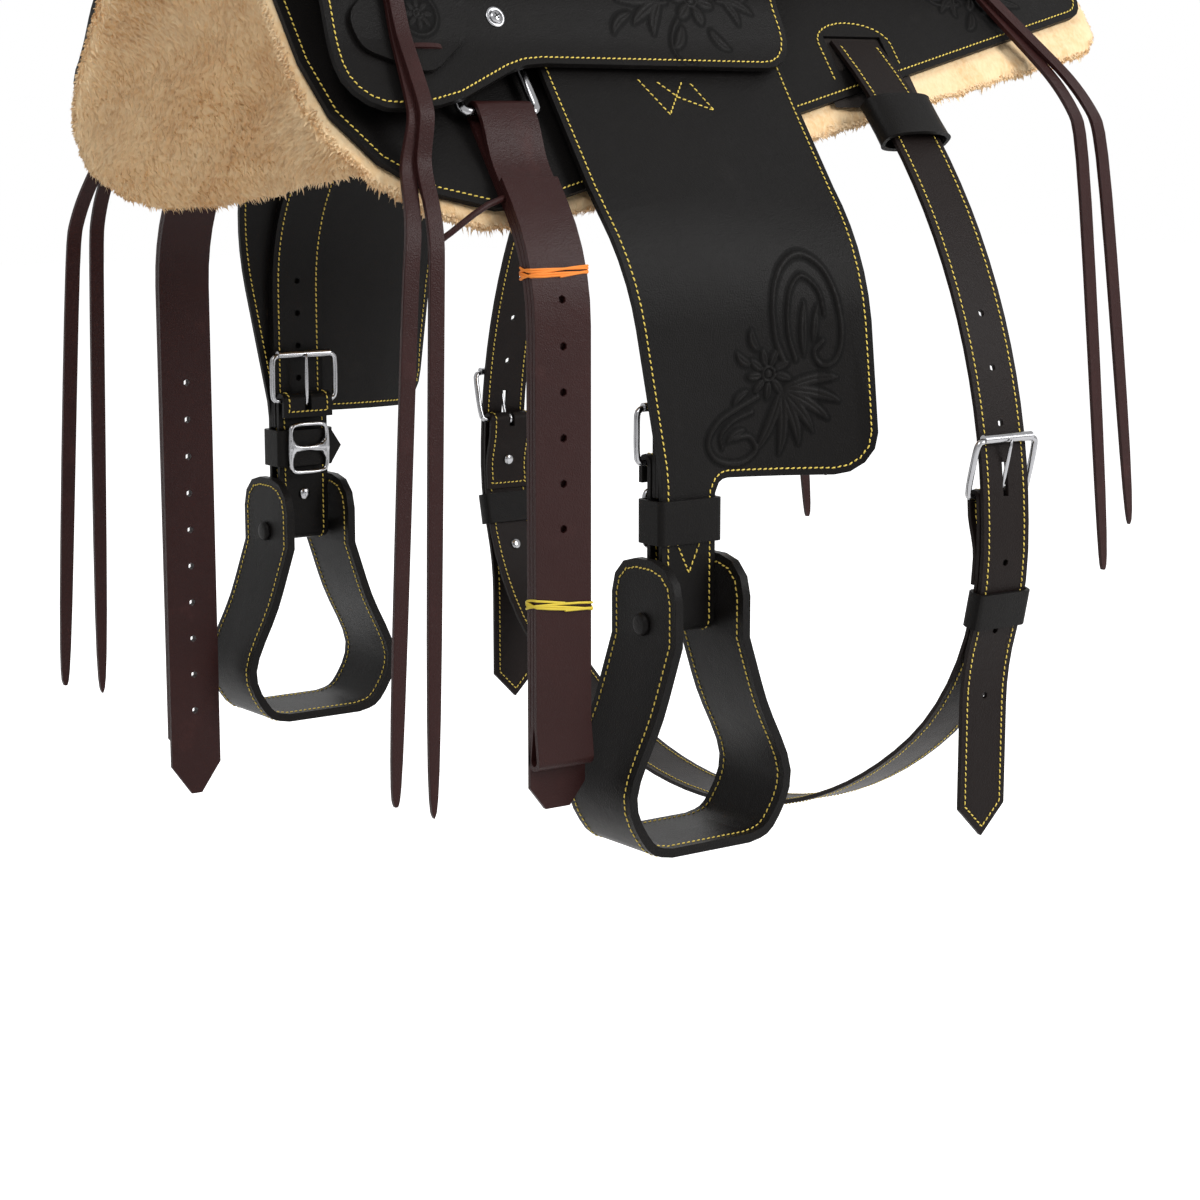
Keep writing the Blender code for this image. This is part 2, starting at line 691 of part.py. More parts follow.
def build_jockeys():
    for word, side in SIDES.items():
        outline = rounded([(-214 * MM, 122 * MM, 6 * MM), (-222 * MM, 248 * MM, 30 * MM),
                           (-150 * MM, 241 * MM, 60 * MM), (-88 * MM, 211 * MM, 60 * MM),
                           (127 * MM, 213 * MM, 26 * MM), (122 * MM, 164 * MM, 18 * MM),
                           (141 * MM, 138 * MM, 18 * MM), (141 * MM, 91 * MM, 6 * MM),
                           (-112 * MM, 91 * MM, 6 * MM), (-112 * MM, 122 * MM, 10 * MM)])
        panel(f"jockey_{word}", outline, ((), DRAPE_LINES),
              lambda y, s, t: on_back(y, s, jockey_base(s) + JOCKEY * t, side), BLACK_LEATHER)
    near = [(146 * MM, 103 * MM, 5 * MM), (146 * MM, 137 * MM, 10 * MM), (330 * MM, 130 * MM, 45 * MM),
            (412 * MM, 72 * MM, 60 * MM)]
    off = [(y, -s, r) for y, s, r in reversed(near)]
    notch = 243 * MM
    outline = rounded(near + off + [(notch, -103 * MM, 10 * MM), (notch, 103 * MM, 10 * MM)])
    lines = [-s for s in reversed(FALL_LINES)] + BEND_LINES + FALL_LINES
    across = [152 * MM, 158 * MM, 164 * MM, *[330 * MM + 54 * MM * k / 4 for k in range(5)]]
    panel("rear_jockey", outline, (across, lines),
          lambda y, s, t: on_back(y, s, rear_jockey_base(y, s) + COVER * t), BLACK_LEATHER)


# Stirrup leathers, fenders and stirrups

BUCKLE_WIRE = 2.2 * MM
BUCKLE_S = 452 * MM
HOBBLE_S = 487 * MM
NECK_FRONT = LEATHER_Y - LEATHER_WIDTH / 2
NECK_REAR = LEATHER_Y + LEATHER_WIDTH / 2
BOLT_LOOP = BOLT_RADIUS + GAP + FENDER / 2
BUCKLE_LOOP = BUCKLE_WIRE + GAP + FENDER / 2
NECK_N = N_FENDER + FENDER / 2
BOLT_N = NECK_N - BOLT_LOOP
RETURN_N = BOLT_N - BOLT_LOOP
BUCKLE_N = RETURN_N - BUCKLE_LOOP


def on_line(line, steps, n):
    """(x, z) points outside a line, at each distance in steps."""
    return [over(line, s, n) for s in steps]


def round_a_pin(line, s, n, radius, start, end, count=6):
    """(x, z) points round a pin at (s, n); angle 0 is outward from the line and 90 degrees is along it."""
    x, z, slope = bend(line, s)
    x += n * math.sin(slope)
    z += n * math.cos(slope)
    points = []
    for k in range(count + 1):
        angle = start + (end - start) * k / count
        out, along = radius * math.cos(angle), radius * math.sin(angle)
        points.append((x + out * math.sin(slope) + along * math.cos(slope),
                       z + out * math.cos(slope) - along * math.sin(slope)))
    return points


TURN_STEPS = [TURN_START + TURN_LENGTH * k / 6 for k in range(7)]
PIVOT_S = BAR_LOWER


def build_fender(word, side):
    """One leather: the broad panel, its neck, the loop round the bolt and the way back up to the buckle."""
    down = [FENDER_TOP, 240 * MM, *TURN_STEPS, FENDER_LOW, 505 * MM]
    back = [505 * MM, 470 * MM]
    points = on_line(FENDER_LINE, down, NECK_N)
    points += round_a_pin(FENDER_LINE, BOLT_S, BOLT_N, BOLT_LOOP, 0, math.pi)
    points += on_line(FENDER_LINE, back, RETURN_N)
    points += round_a_pin(FENDER_LINE, BUCKLE_S, BUCKLE_N, BUCKLE_LOOP, 0, -math.pi)
    points += on_line(FENDER_LINE, [BUCKLE_S + 12 * MM], BUCKLE_N - BUCKLE_LOOP)
    run = Run(points)
    extra = (NECK_N + 0.5 * MM) * (HANG_SLOPE - BACK_SLOPE)
    low = FENDER_LOW - FENDER_TOP + extra
    end = run.length
    outline = rounded([(0, FENDER_FRONT, 8 * MM), (125 * MM, FENDER_FRONT, 90 * MM),
                       (low - 12 * MM, NECK_FRONT, 60 * MM), (end, NECK_FRONT, 0), (end, NECK_REAR, 0),
                       (low - 9 * MM, NECK_REAR, 9 * MM), (low - 6 * MM, FENDER_REAR - 10 * MM, 26 * MM),
                       (0, FENDER_REAR, 8 * MM)])

    def place(a, y, t):
        across = max(0.0, y - NECK_REAR) / (FENDER_REAR - NECK_REAR)
        curl = FENDER_CURL * across ** 2 * smoothstep(90 * MM, low, a)
        x, z = run.place(a, (t - 0.5) * FENDER + curl)
        return Vector((side * x, y, z))

    fender = panel(f"fender_{word}", outline, (run.at[1:-1], [NECK_REAR, 25 * MM, 50 * MM, 75 * MM, 98 * MM]),
                   place, BLACK_LEATHER)
    slot = box_cutter(f"buckle_slot_cut_{side}", fender_frame(BUCKLE_S, BUCKLE_N, side),
                      (2 * BUCKLE_LOOP + FENDER + 1 * MM, 5.4 * MM, 2 * BUCKLE_LOOP + 5 * MM))
    return cut(fender, slot)


def fender_frame(s, n, side, y=LEATHER_Y):
    """Frame on the fender's line: X outward, Y to the rear, Z up along the leather."""
    x, z, slope = bend(FENDER_LINE, s)
    outward = Vector((math.sin(slope), 0, math.cos(slope)))
    up = Vector((-math.cos(slope), 0, math.sin(slope)))
    centre = Vector((x, y, z)) + outward * n
    if side < 0:
        outward.x, up.x, centre.x = -outward.x, -up.x, -centre.x
    frame = Matrix((outward, (0, 1, 0), up)).transposed().to_4x4()
    frame.translation = centre
    return frame


def box_cutter(name, frame, size, shift=(0, 0, 0)):
    bm = bmesh.new()
    bmesh.ops.create_cube(bm, size=1.0, matrix=Matrix.Translation(shift) @ Matrix.Diagonal((*size, 1)))
    mesh = bpy.data.meshes.new(name)
    bm.to_mesh(mesh)
    bm.free()
    if frame.determinant() < 0:
        mesh.flip_normals()
    cutter = add_object(name, mesh, None, CUTTERS)
    cutter.data.transform(frame)
    return cutter


def build_stirrup_leather(word, side):
    """Strap over the hanger strip of the bar, both layers hanging down behind the fender."""
    inner, outer = N_INNER + STRAP / 2, N_OUTER + STRAP / 2
    strip = STRIP_HIGH + GAP + STRAP / 2
    radius = (strip - inner) / 2
    play = radius - STRAP / 2
    turn_s = BAR_LOWER - HANG_ARC + math.sqrt(play ** 2 - (STRIP / 2) ** 2) - 1.6 * MM
    ends = 472 * MM
    down = [142 * MM + 36 * MM * k / 5 for k in range(6)]
    points = [over(FENDER_LINE, s, outer) for s in (ends, *reversed(TURN_STEPS))]
    points += [over(FENDER_LINE, s, strip - (strip - outer) * smoothstep(142 * MM, 178 * MM, s))
               for s in reversed(down)]
    points += round_a_pin(FENDER_LINE, turn_s, (strip + inner) / 2, radius, 0, -math.pi)
    points += on_line(FENDER_LINE, [*TURN_STEPS, ends], inner)
    run = Run(points)
    leather = strap(f"stirrup_leather_{word}", run, LEATHER_Y, LEATHER_WIDTH, STRAP, side, BLACK_LEATHER)
    holes = [run.length - (ends - s) for s in (436 * MM, 412 * MM, 388 * MM, 364 * MM)]
    return punch(leather, f"leather_hole_cut_{side}", run, LEATHER_Y, holes, 2.4 * MM, side, depth=4.6 * MM)


def build_buckle(name, frame, width, height, radius):
    """Wire frame of a buckle; its lower bar lies on the frame's origin."""
    corners = [(-width / 2, 0, 5 * MM), (width / 2, 0, 5 * MM), (width / 2, height, 5 * MM), (-width / 2, height, 5 * MM)]
    outline = rounded(corners, math.radians(30))
    return wire(name, [frame @ Vector((0, y, z)) for y, z in outline], radius, CHROME, closed=True)


def build_tongue(name, frame, far, bar_radius, radius):
    """Tongue hooked round a bar at the frame's origin, lying on the far bar at (x, z)."""
    loop = bar_radius + GAP + radius
    way = Vector(far).normalized()
    side = Vector((way.y, -way.x))
    points = [side * loop * math.cos(k) - way * loop * math.sin(k)
              for k in [math.radians(250 - 50 * step) for step in range(6)]]
    points.append(side * loop + way * (Vector(far).length + 2 * MM))
    return wire(name, [frame @ Vector((p.x, 0, p.y)) for p in points], radius, CHROME, resolution=1)


def build_hobble(word, side):
    """Strap wrapped round the fender's neck, overlapping itself on the inner face."""
    low = RETURN_N - FENDER / 2 - GAP - STRAP / 2
    high = N_FENDER + FENDER + GAP + STRAP / 2
    half = LEATHER_WIDTH / 2 + GAP + STRAP / 2 + 0.4 * MM
    corner = 2.6 * MM
    start = (-4 * MM, low)
    ring = rounded([(half, low, corner), (half, high, corner), (-half, high, corner),
                    (-half, low - STRAP - GAP, corner)], math.radians(30))
    run = Run([start, *ring, (half + 6 * MM, low - STRAP - GAP)])
    width = 27 * MM
    frame = fender_frame(HOBBLE_S, 0.0, side)

    def place(a, b, t):
        y, n = run.place(a, (t - 0.5) * STRAP)
        return frame @ Vector((n, y, b))

    outline = [(0, -width / 2), (run.length - 9 * MM, -width / 2), (run.length, 0), (run.length - 9 * MM, width / 2),
               (0, width / 2)]
    hobble = panel(f"hobble_{word}", outline, (run.at[1:-1], ()), place, BLACK_LEATHER)
    wire_radius = 1.9 * MM
    level = low - 1.5 * STRAP - 2 * GAP - wire_radius
    corners = [(-16 * MM, -18 * MM, 5 * MM), (15 * MM, -18 * MM, 5 * MM), (15 * MM, 18 * MM, 5 * MM),
               (-16 * MM, 18 * MM, 5 * MM)]
    rim = [frame @ Vector((level, y, z)) for y, z in rounded(corners, math.radians(45))]
    buckle = applied(wire(f"hobble_buckle_{word}", rim, wire_radius, CHROME, closed=True))
    prong = [frame @ Vector((level - 0.4 * MM, y, 0)) for y in (-17 * MM, 16.5 * MM)]
    bar = applied(wire(f"hobble_prong_{side}", prong, 1.5 * MM, None, collection=CUTTERS, resolution=1))
    cut(buckle, bar, "UNION")
    return hobble, buckle


def stirrup_profile():
    """Middle line of the stirrup's strip, from the front ear round the tread to the rear ear."""
    neck = (STIRRUP_NECK - STIRRUP_THICK) / 2
    wide = (STIRRUP_WIDTH - STIRRUP_THICK) / 2
    flare = wide - neck
    half = [(neck, STIRRUP_EAR)]
    half += curved([(neck, -10 * MM), (neck + 0.42 * flare, -0.38 * STIRRUP_DROP),
                    (wide, -0.72 * STIRRUP_DROP), (wide - 0.38 * flare, -0.95 * STIRRUP_DROP),
                    (neck + 0.12 * flare, -STIRRUP_DROP)])
    return [(-y, z) for y, z in half] + [(y, z) for y, z in reversed(half)]


def build_stirrup(word, side):
    centre = fender_frame(BOLT_S, BOLT_N, side).translation
    run = Run(stirrup_profile())
    half = TREAD_DEPTH / 2
    outline = rounded([(0, -half, 24 * MM), (run.length, -half, 24 * MM), (run.length, half, 24 * MM),
                       (0, half, 24 * MM)], math.radians(30))

    def place(a, x, t):
        y, z = run.place(a, (t - 0.5) * STIRRUP_THICK)
        return Vector((centre.x + x * side, centre.y + y, centre.z + z))

    stirrup = panel(f"stirrup_{word}", outline, (run.at[1:-1], ()), place, BLACK_LEATHER)
    along = Matrix.Translation(centre) @ Matrix.Rotation(math.radians(90), 4, "X")
    reach = STIRRUP_NECK / 2
    hole = BOLT_RADIUS + GAP
    cut(stirrup, turned(f"bolt_hole_cut_{side}", [(0, reach + 9 * MM), (hole, reach + 9 * MM),
                                                  (hole, -reach - 9 * MM), (0, -reach - 9 * MM)], None, along,
                        steps=14, collection=CUTTERS))
    ends = reach + GAP
    bolt = turned(f"stirrup_bolt_{word}", [(0, ends + 4 * MM), (6 * MM, ends + 3.4 * MM), (7.5 * MM, ends + 1.5 * MM),
                                           (7.5 * MM, ends), (BOLT_RADIUS, ends), (BOLT_RADIUS, -ends),
                                           (7 * MM, -ends), (7 * MM, -ends - 4 * MM), (0, -ends - 4 * MM)],
                  CHROME, along, steps=14)
    carried(f"stirrup_joint_{word}", centre, [stirrup, bolt])


def build_fender_side(word, side):
    pivot = on_back(LEATHER_Y, PIVOT_S, (STRIP_LOW + STRIP_HIGH) / 2, side)
    frame = fender_frame(BUCKLE_S, BUCKLE_N, side)
    buckle = build_buckle(f"leather_buckle_{word}", frame, 53 * MM, 34 * MM, BUCKLE_WIRE)
    tongue = build_tongue(f"leather_tongue_{word}", frame @ Matrix.Diagonal((-1, 1, 1, 1)), (0, 34 * MM),
                          BUCKLE_WIRE, 1.6 * MM)
    carried(f"leather_tongue_joint_{word}", frame.translation, [tongue])
    build_stirrup(word, side)
    hobble, hobble_buckle = build_hobble(word, side)
    pieces = [build_fender(word, side), build_stirrup_leather(word, side), buckle, hobble, hobble_buckle]
    swing = carried(f"fender_joint_{word}", pivot, pieces)
    for name in ("stirrup_joint", "leather_tongue_joint"):
        child = bpy.data.objects[f"{name}_{word}"]
        child.parent = swing
        child.matrix_parent_inverse = Matrix.Translation(-pivot)


# Rigging dees, latigo and off billet

LATIGO_LINE = [(SPINE_ARC, BACK_SLOPE), (LATIGO_TURN - SPINE_ARC, BACK_SLOPE), (60 * MM, math.pi / 2),
               (10.0, math.pi / 2)]
LATIGO_BEND = [LATIGO_TURN + 60 * MM * k / 5 for k in range(6)]


def build_rigging(word, side):
    """Strap screwed to the bar, its lower end turned up round the top of the dee."""
    high = N_TREE + STRAP / 2
    half = RIG_WIDTH / 2
    sag = half - math.sqrt(half ** 2 - (RIGGING_WIDTH / 2) ** 2)
    turn_s = RIG_S - RIG_HEIGHT + sag + 0.8 * MM
    points = [over(BACK_LINE, s, high - (high - N_RIG - RIG_LOOP) * smoothstep(138 * MM, 170 * MM, s))
              for s in (108 * MM, *[138 * MM + 32 * MM * k / 4 for k in range(5)])]
    points += round_a_pin(BACK_LINE, turn_s, N_RIG, RIG_LOOP, 0, math.pi)
    points.append(over(BACK_LINE, 158 * MM, N_RIG - RIG_LOOP))
    strap(f"rigging_{word}", Run(points), RIG_Y, RIGGING_WIDTH, STRAP, side, BLACK_LEATHER)
    frame = slope_frame(RIG_Y, RIG_S, N_RIG, side)
    corners = [(-half, 0, 5 * MM), (half, 0, 5 * MM), (half, RIG_HEIGHT, half - 2 * MM), (-half, RIG_HEIGHT, half - 2 * MM)]
    rim = [frame @ Vector((along, up, 0)) for along, up in rounded(corners, math.radians(22.5))]
    wire(f"rigging_dee_{word}", rim, RIG_WIRE, CHROME, closed=True)


def along_latigo(z):
    """Distance along the latigo's line at which it hangs at height z."""
    low = LATIGO_TURN + 60 * MM
    return low + bend(LATIGO_LINE, low)[1] - z


def dee_fold():
    """(x, z) points up the inner run, over the dee's straight bar, and back in against the inner run."""
    inner = N_RIG - RIG_LOOP
    outer = inner + STRAP + GAP
    up = [over(LATIGO_LINE, s, inner) for s in reversed(LATIGO_BEND)]
    fold = round_a_pin(LATIGO_LINE, RIG_S, N_RIG, RIG_LOOP, math.pi, math.tau)
    down = [over(LATIGO_LINE, RIG_S + 3 * MM + 36 * MM * k / 5,
                 N_RIG + RIG_LOOP - (N_RIG + RIG_LOOP - outer) * smoothstep(0, 5, k)) for k in range(6)]
    down += [over(LATIGO_LINE, s, outer) for s in LATIGO_BEND]
    return inner, outer, up, fold, down


def build_latigo():
    """Near-side latigo: over the dee, down, round a loose loop at the foot, and up to its tucked end."""
    inner, outer, up, fold, down = dee_fold()
    third = outer + STRAP + GAP
    foot = along_latigo(LATIGO_LOOP)
    swell = 4.4 * MM
    middle = (outer + third) / 2
    loop = [over(LATIGO_LINE, foot - 26 * MM, outer)]
    loop += round_a_pin(LATIGO_LINE, foot - swell, middle, swell, math.pi, 0, 8)
    loop += [over(LATIGO_LINE, foot - 26 * MM, third)]
    back = [over(LATIGO_LINE, s, third) for s in reversed(LATIGO_BEND)]
    back.append(over(LATIGO_LINE, LATIGO_TURN - 18 * MM, third))
    run = Run([over(LATIGO_LINE, along_latigo(LATIGO_TIP), inner), *up, *fold, *down, *loop, *back])
    latigo = strap("latigo", run, RIG_Y, LATIGO_WIDTH, STRAP, 1, BROWN_LEATHER, tips=(14 * MM, 0.0))
    rise = run.length - (along_latigo(-278 * MM) - LATIGO_TURN + 18 * MM)
    holes = [rise - 27 * MM * k for k in range(6)]
    return punch(latigo, "latigo_hole_cut", run, RIG_Y, holes, 2.6 * MM, 1, depth=STRAP + 0.5 * MM)


def build_off_billet():
    """Off-side billet, folded over its dee, with two pointed ends and a row of holes."""
    inner, outer, up, fold, down = dee_fold()
    low, high = (along_latigo(z) for z in BILLET_TIPS)
    run = Run([over(LATIGO_LINE, low, inner), *up, *fold, *down, over(LATIGO_LINE, high, outer)])
    billet = strap("off_billet", run, RIG_Y, LATIGO_WIDTH, STRAP, -1, BROWN_LEATHER, tips=(22 * MM, 22 * MM))
    holes = [run.length - 42 * MM - 27 * MM * k for k in range(10)]
    return punch(billet, "billet_hole_cut", run, RIG_Y, holes, 2.6 * MM, -1, lift=-(STRAP + GAP) / 2,
                 depth=3 * STRAP)


def build_front_rig():
    for word, side in SIDES.items():
        build_rigging(word, side)
        hang = build_latigo() if side > 0 else build_off_billet()
        carried(f"{hang.name}_joint", on_back(RIG_Y, RIG_S, N_RIG, side), [hang])


# Flank cinch

FLANK_N = N_SKIRT + SKIRT + GAP + STRAP / 2
FLANK_EDGE = over(BACK_LINE, FLANK_S, FLANK_N)
FLANK_ARC = (FLANK_REACH - FLANK_EDGE[0]) / (1 - math.sin(FLANK_START))
FLANK_TURN = FLANK_EDGE[1] - FLANK_ARC * math.cos(FLANK_START)
FLANK_WIRE = 2.35 * MM
FLANK_HEIGHT = 37 * MM
FLANK_TILT = 12.5 * MM
FLANK_PRONG = 1.5 * MM
HEEL_N = -8.15 * MM
CINCH_LOOP = FLANK_WIRE + GAP + STRAP / 2
KEEPER_S = FLANK_HEEL + 74 * MM
KEEPER_END = KEEPER_S + 18 * MM
TAIL_TURN = 50 * MM


def flank_line():
    """Arcs of the flank loop from the slot to its lowest point, where it meets its mirror image."""
    sine, cosine = math.sin(FLANK_LOW), math.cos(FLANK_LOW)
    drop = FLANK_DEPTH + FLANK_TURN
    scale = (1 - sine) * (1 + cosine) + sine * cosine
    upper = (FLANK_REACH * (1 + cosine) - drop * sine) / scale
    lower = (drop * (1 - sine) + FLANK_REACH * cosine) / scale
    return [(0.001 * MM, FLANK_START), (FLANK_ARC * (math.pi / 2 - FLANK_START), math.pi / 2),
            (upper * (FLANK_LOW - math.pi / 2), FLANK_LOW), (lower * (math.pi - FLANK_LOW), math.pi)]


FLANK_LINE = flank_line()
FLANK_HALF = sum(length for length, _ in FLANK_LINE)


def from_slot(points):
    return [(x + FLANK_EDGE[0], z + FLANK_EDGE[1]) for x, z in points]


def flank_steps(low, high):
    """Distances from low to high at which the flank loop is divided, the same for every layer."""
    return [low, *[s for s in spaced(0, FLANK_HALF, 40) if low + 4 * MM < s < high - 4 * MM], high]


def flank_frame(s, n, side):
    """Frame on the flank loop: X outward, Y to the rear, Z back up towards the slot."""
    x, z, slope = bend(FLANK_LINE, s)
    outward = Vector((math.sin(slope), 0, math.cos(slope)))
    up = Vector((-math.cos(slope), 0, math.sin(slope)))
    centre = Vector((x + FLANK_EDGE[0], FLANK_Y, z + FLANK_EDGE[1])) + outward * n
    if side < 0:
        outward.x, up.x, centre.x = -outward.x, -up.x, -centre.x
    frame = Matrix((outward, (0, 1, 0), up)).transposed().to_4x4()
    frame.translation = centre
    return frame


def build_flank_billet(word, side):
    start = FLANK_START
    inside = 11.5 * MM
    line = [*FLANK_LINE[:2], (KEEPER_END - FLANK_LINE[1][0], bend(FLANK_LINE, KEEPER_END)[2]), (TAIL_TURN, math.pi / 2),
            (10.0, math.pi / 2)]
    steps = [s for s in flank_steps(0, FLANK_HALF) if s < KEEPER_END - 4 * MM]
    steps += [*[KEEPER_END + TAIL_TURN * k / 4 for k in range(5)], FLANK_TIP]
    points = [(-inside * math.cos(start), inside * math.sin(start)), *on_line(line, steps, 0)]
    run = Run(from_slot(points))
    billet = strap(f"flank_billet_{word}", run, FLANK_Y, FLANK_WIDTH, STRAP, side, BROWN_LEATHER,
                   tips=(0.0, 20 * MM))
    frame = flank_frame(FLANK_HEEL, 0.0, side)
    slot = box_cutter(f"tongue_slot_cut_{side}", frame, (STRAP + 2 * MM, 4.4 * MM, 22 * MM), (0, 0, 11 * MM))
    cut(billet, slot)
    holes = [inside + FLANK_HEEL - 11 * MM + d for d in (-108 * MM, -72 * MM, -36 * MM, 54 * MM, 100 * MM, 146 * MM)]
    return punch(billet, f"flank_hole_cut_{side}", run, FLANK_Y, holes, 2.4 * MM, side, depth=STRAP + 1 * MM)


def flank_half():
    """(x, z) points of half the cinch: its tail, the turn round the buckle's heel bar, and down to the foot."""
    inner = HEEL_N - CINCH_LOOP
    outer = HEEL_N + CINCH_LOOP
    tucked = outer - STRAP - GAP
    tail = [(58, 1.0), (40, 1.0), (33, 0.9), (26, 0.6), (19, 0.25), (12, 0.0)]
    points = [over(FLANK_LINE, FLANK_HEEL + d * MM, inner + (tucked - inner) * share) for d, share in tail]
    points += round_a_pin(FLANK_LINE, FLANK_HEEL, HEEL_N, CINCH_LOOP, math.pi, math.tau)
    points += on_line(FLANK_LINE, flank_steps(FLANK_HEEL + 10 * MM, FLANK_HALF), outer)
    return from_slot(points)


def band(name, frame, half_y, low, high, width, wall, look):
    """Closed leather band round a stack of straps, from n low to n high."""
    def ring(extra, corner):
        return rounded([(-half_y - extra, low - extra, corner), (half_y + extra, low - extra, corner),
                        (half_y + extra, high + extra, corner), (-half_y - extra, high + extra, corner)],
                       math.radians(45))

    def place(long):
        return lambda y, n, t: frame @ Vector((n, y, (t - 0.5) * long))

    outer = panel(name, ring(wall, 4 * MM), ((), ()), place(width), look)
    hollow = panel(f"{name}_hollow", ring(0, 1.2 * MM), ((), ()), place(width + 6 * MM), None, CUTTERS)
    return cut(outer, hollow)


def build_flank():
    half = flank_half()
    points = half + [(-x, z) for x, z in reversed(half[:-1])]
    cinch = strap("flank_cinch", Run(points), FLANK_Y, FLANK_WIDTH, STRAP, 1, BROWN_LEATHER)
    pieces = [cinch]
    tongues = []
    for word, side in SIDES.items():
        frame = flank_frame(FLANK_HEEL, HEEL_N, side)
        slot = box_cutter(f"cinch_slot_cut_{side}", frame,
                          (2 * CINCH_LOOP + STRAP + 1 * MM, 4.6 * MM, 2 * CINCH_LOOP + 4 * MM), (0, 0, 1 * MM))
        cut(cinch, slot)
        corners = [(-26 * MM, 0, 5 * MM), (26 * MM, 0, 5 * MM), (26 * MM, FLANK_HEIGHT, 5 * MM),
                   (-26 * MM, FLANK_HEIGHT, 5 * MM)]
        tilt = FLANK_TILT / FLANK_HEIGHT
        rim = [frame @ Vector((z * tilt, y, z)) for y, z in rounded(corners, math.radians(45))]
        buckle = wire(f"flank_buckle_{word}", rim, FLANK_WIRE, CHROME, closed=True)
        tongue = build_tongue(f"flank_tongue_{word}", frame, (FLANK_TILT, FLANK_HEIGHT), FLANK_WIRE, FLANK_PRONG)
        tongues.append(carried(f"flank_tongue_joint_{word}", frame.translation, [tongue]))
        low = HEEL_N + CINCH_LOOP - STRAP / 2 - 3 * GAP
        keeper = band(f"flank_keeper_{word}", flank_frame(KEEPER_S, 0.0, side),
                      FLANK_WIDTH / 2 + 2 * GAP, low, STRAP / 2 + 3 * GAP, 24 * MM, 2.4 * MM, BROWN_LEATHER)
        pieces += [build_flank_billet(word, side), buckle, keeper]
    swing = carried("flank_joint", Vector((0, FLANK_Y, FLANK_EDGE[1])), pieces)
    for tongue in tongues:
        tongue.parent = swing
        tongue.matrix_parent_inverse = Matrix.Translation(-swing.location)


# Concho plates, saddle strings and screws

PLATE_N = JOCKEY + GAP
DEE_ROOM = 1.1 * MM
DEE_Y = -173 * MM
DEE_S = 148 * MM
STRING_LIFT = 1 * MM
CONCHO_Y = 316 * MM
CONCHO_S = 84 * MM
SCREW_S = 130 * MM
FRONT_STRING_TIPS = (-556 * MM, -566 * MM)
REAR_STRING_TIPS = (-484 * MM, -452 * MM)


def string_line(turn):
    return [(SPINE_ARC, BACK_SLOPE), (turn - SPINE_ARC, BACK_SLOPE), (40 * MM, math.pi / 2), (10.0, math.pi / 2)]


def hang(line, turn, z):
    low = turn + 40 * MM
    return low + bend(line, low)[1] - z


def saddle_strings(name, y, side, turn, top, surface, spread, drifts, tips):
    """One string folded at its middle, its halves spread apart at the fold and parting as they hang."""
    line = string_line(turn)
    step = STRING_THICK + GAP
    bends = [turn + 40 * MM * k / 4 for k in range(5)]

    def layer(k):
        return [(s, surface(s) + STRING_THICK / 2 + k * (spread - (spread - step) * smoothstep(top[0], top[3], s)))
                for s in (*top[1:], *bends)]

    first, second = layer(0), layer(1)
    points = [over(line, hang(line, turn, tips[0]), first[-1][1])]
    points += [over(line, s, n) for s, n in reversed(first)]
    points += round_a_pin(line, top[0], (first[0][1] + second[0][1]) / 2, (second[0][1] - first[0][1]) / 2,
                          math.pi, math.tau, 4)
    points += [over(line, s, n) for s, n in second]
    points.append(over(line, hang(line, turn, tips[1]), second[-1][1]))
    run = Run(points)
    middle = run.at[len(first) + 3]

    def shift(a):
        share = abs(a - middle) / (run.length - middle)
        return drifts[0 if a < middle else 1] * smoothstep(0.0, 1.0, share * 1.6)

    return strap(name, run, y, STRING_WIDTH, STRING_THICK, side, BROWN_LEATHER, tips=(10 * MM, 10 * MM), shift=shift)


def over_the_plate(s):
    """Level that a front string lies on: past the plate's edge, over plate and jockey, then on the skirt."""
    high = jockey_base(s) + PLATE_N + (STRAP + GAP) * smoothstep(157 * MM, 166 * MM, s)
    return high - (high - N_BAR) * smoothstep(247 * MM, 282 * MM, s)


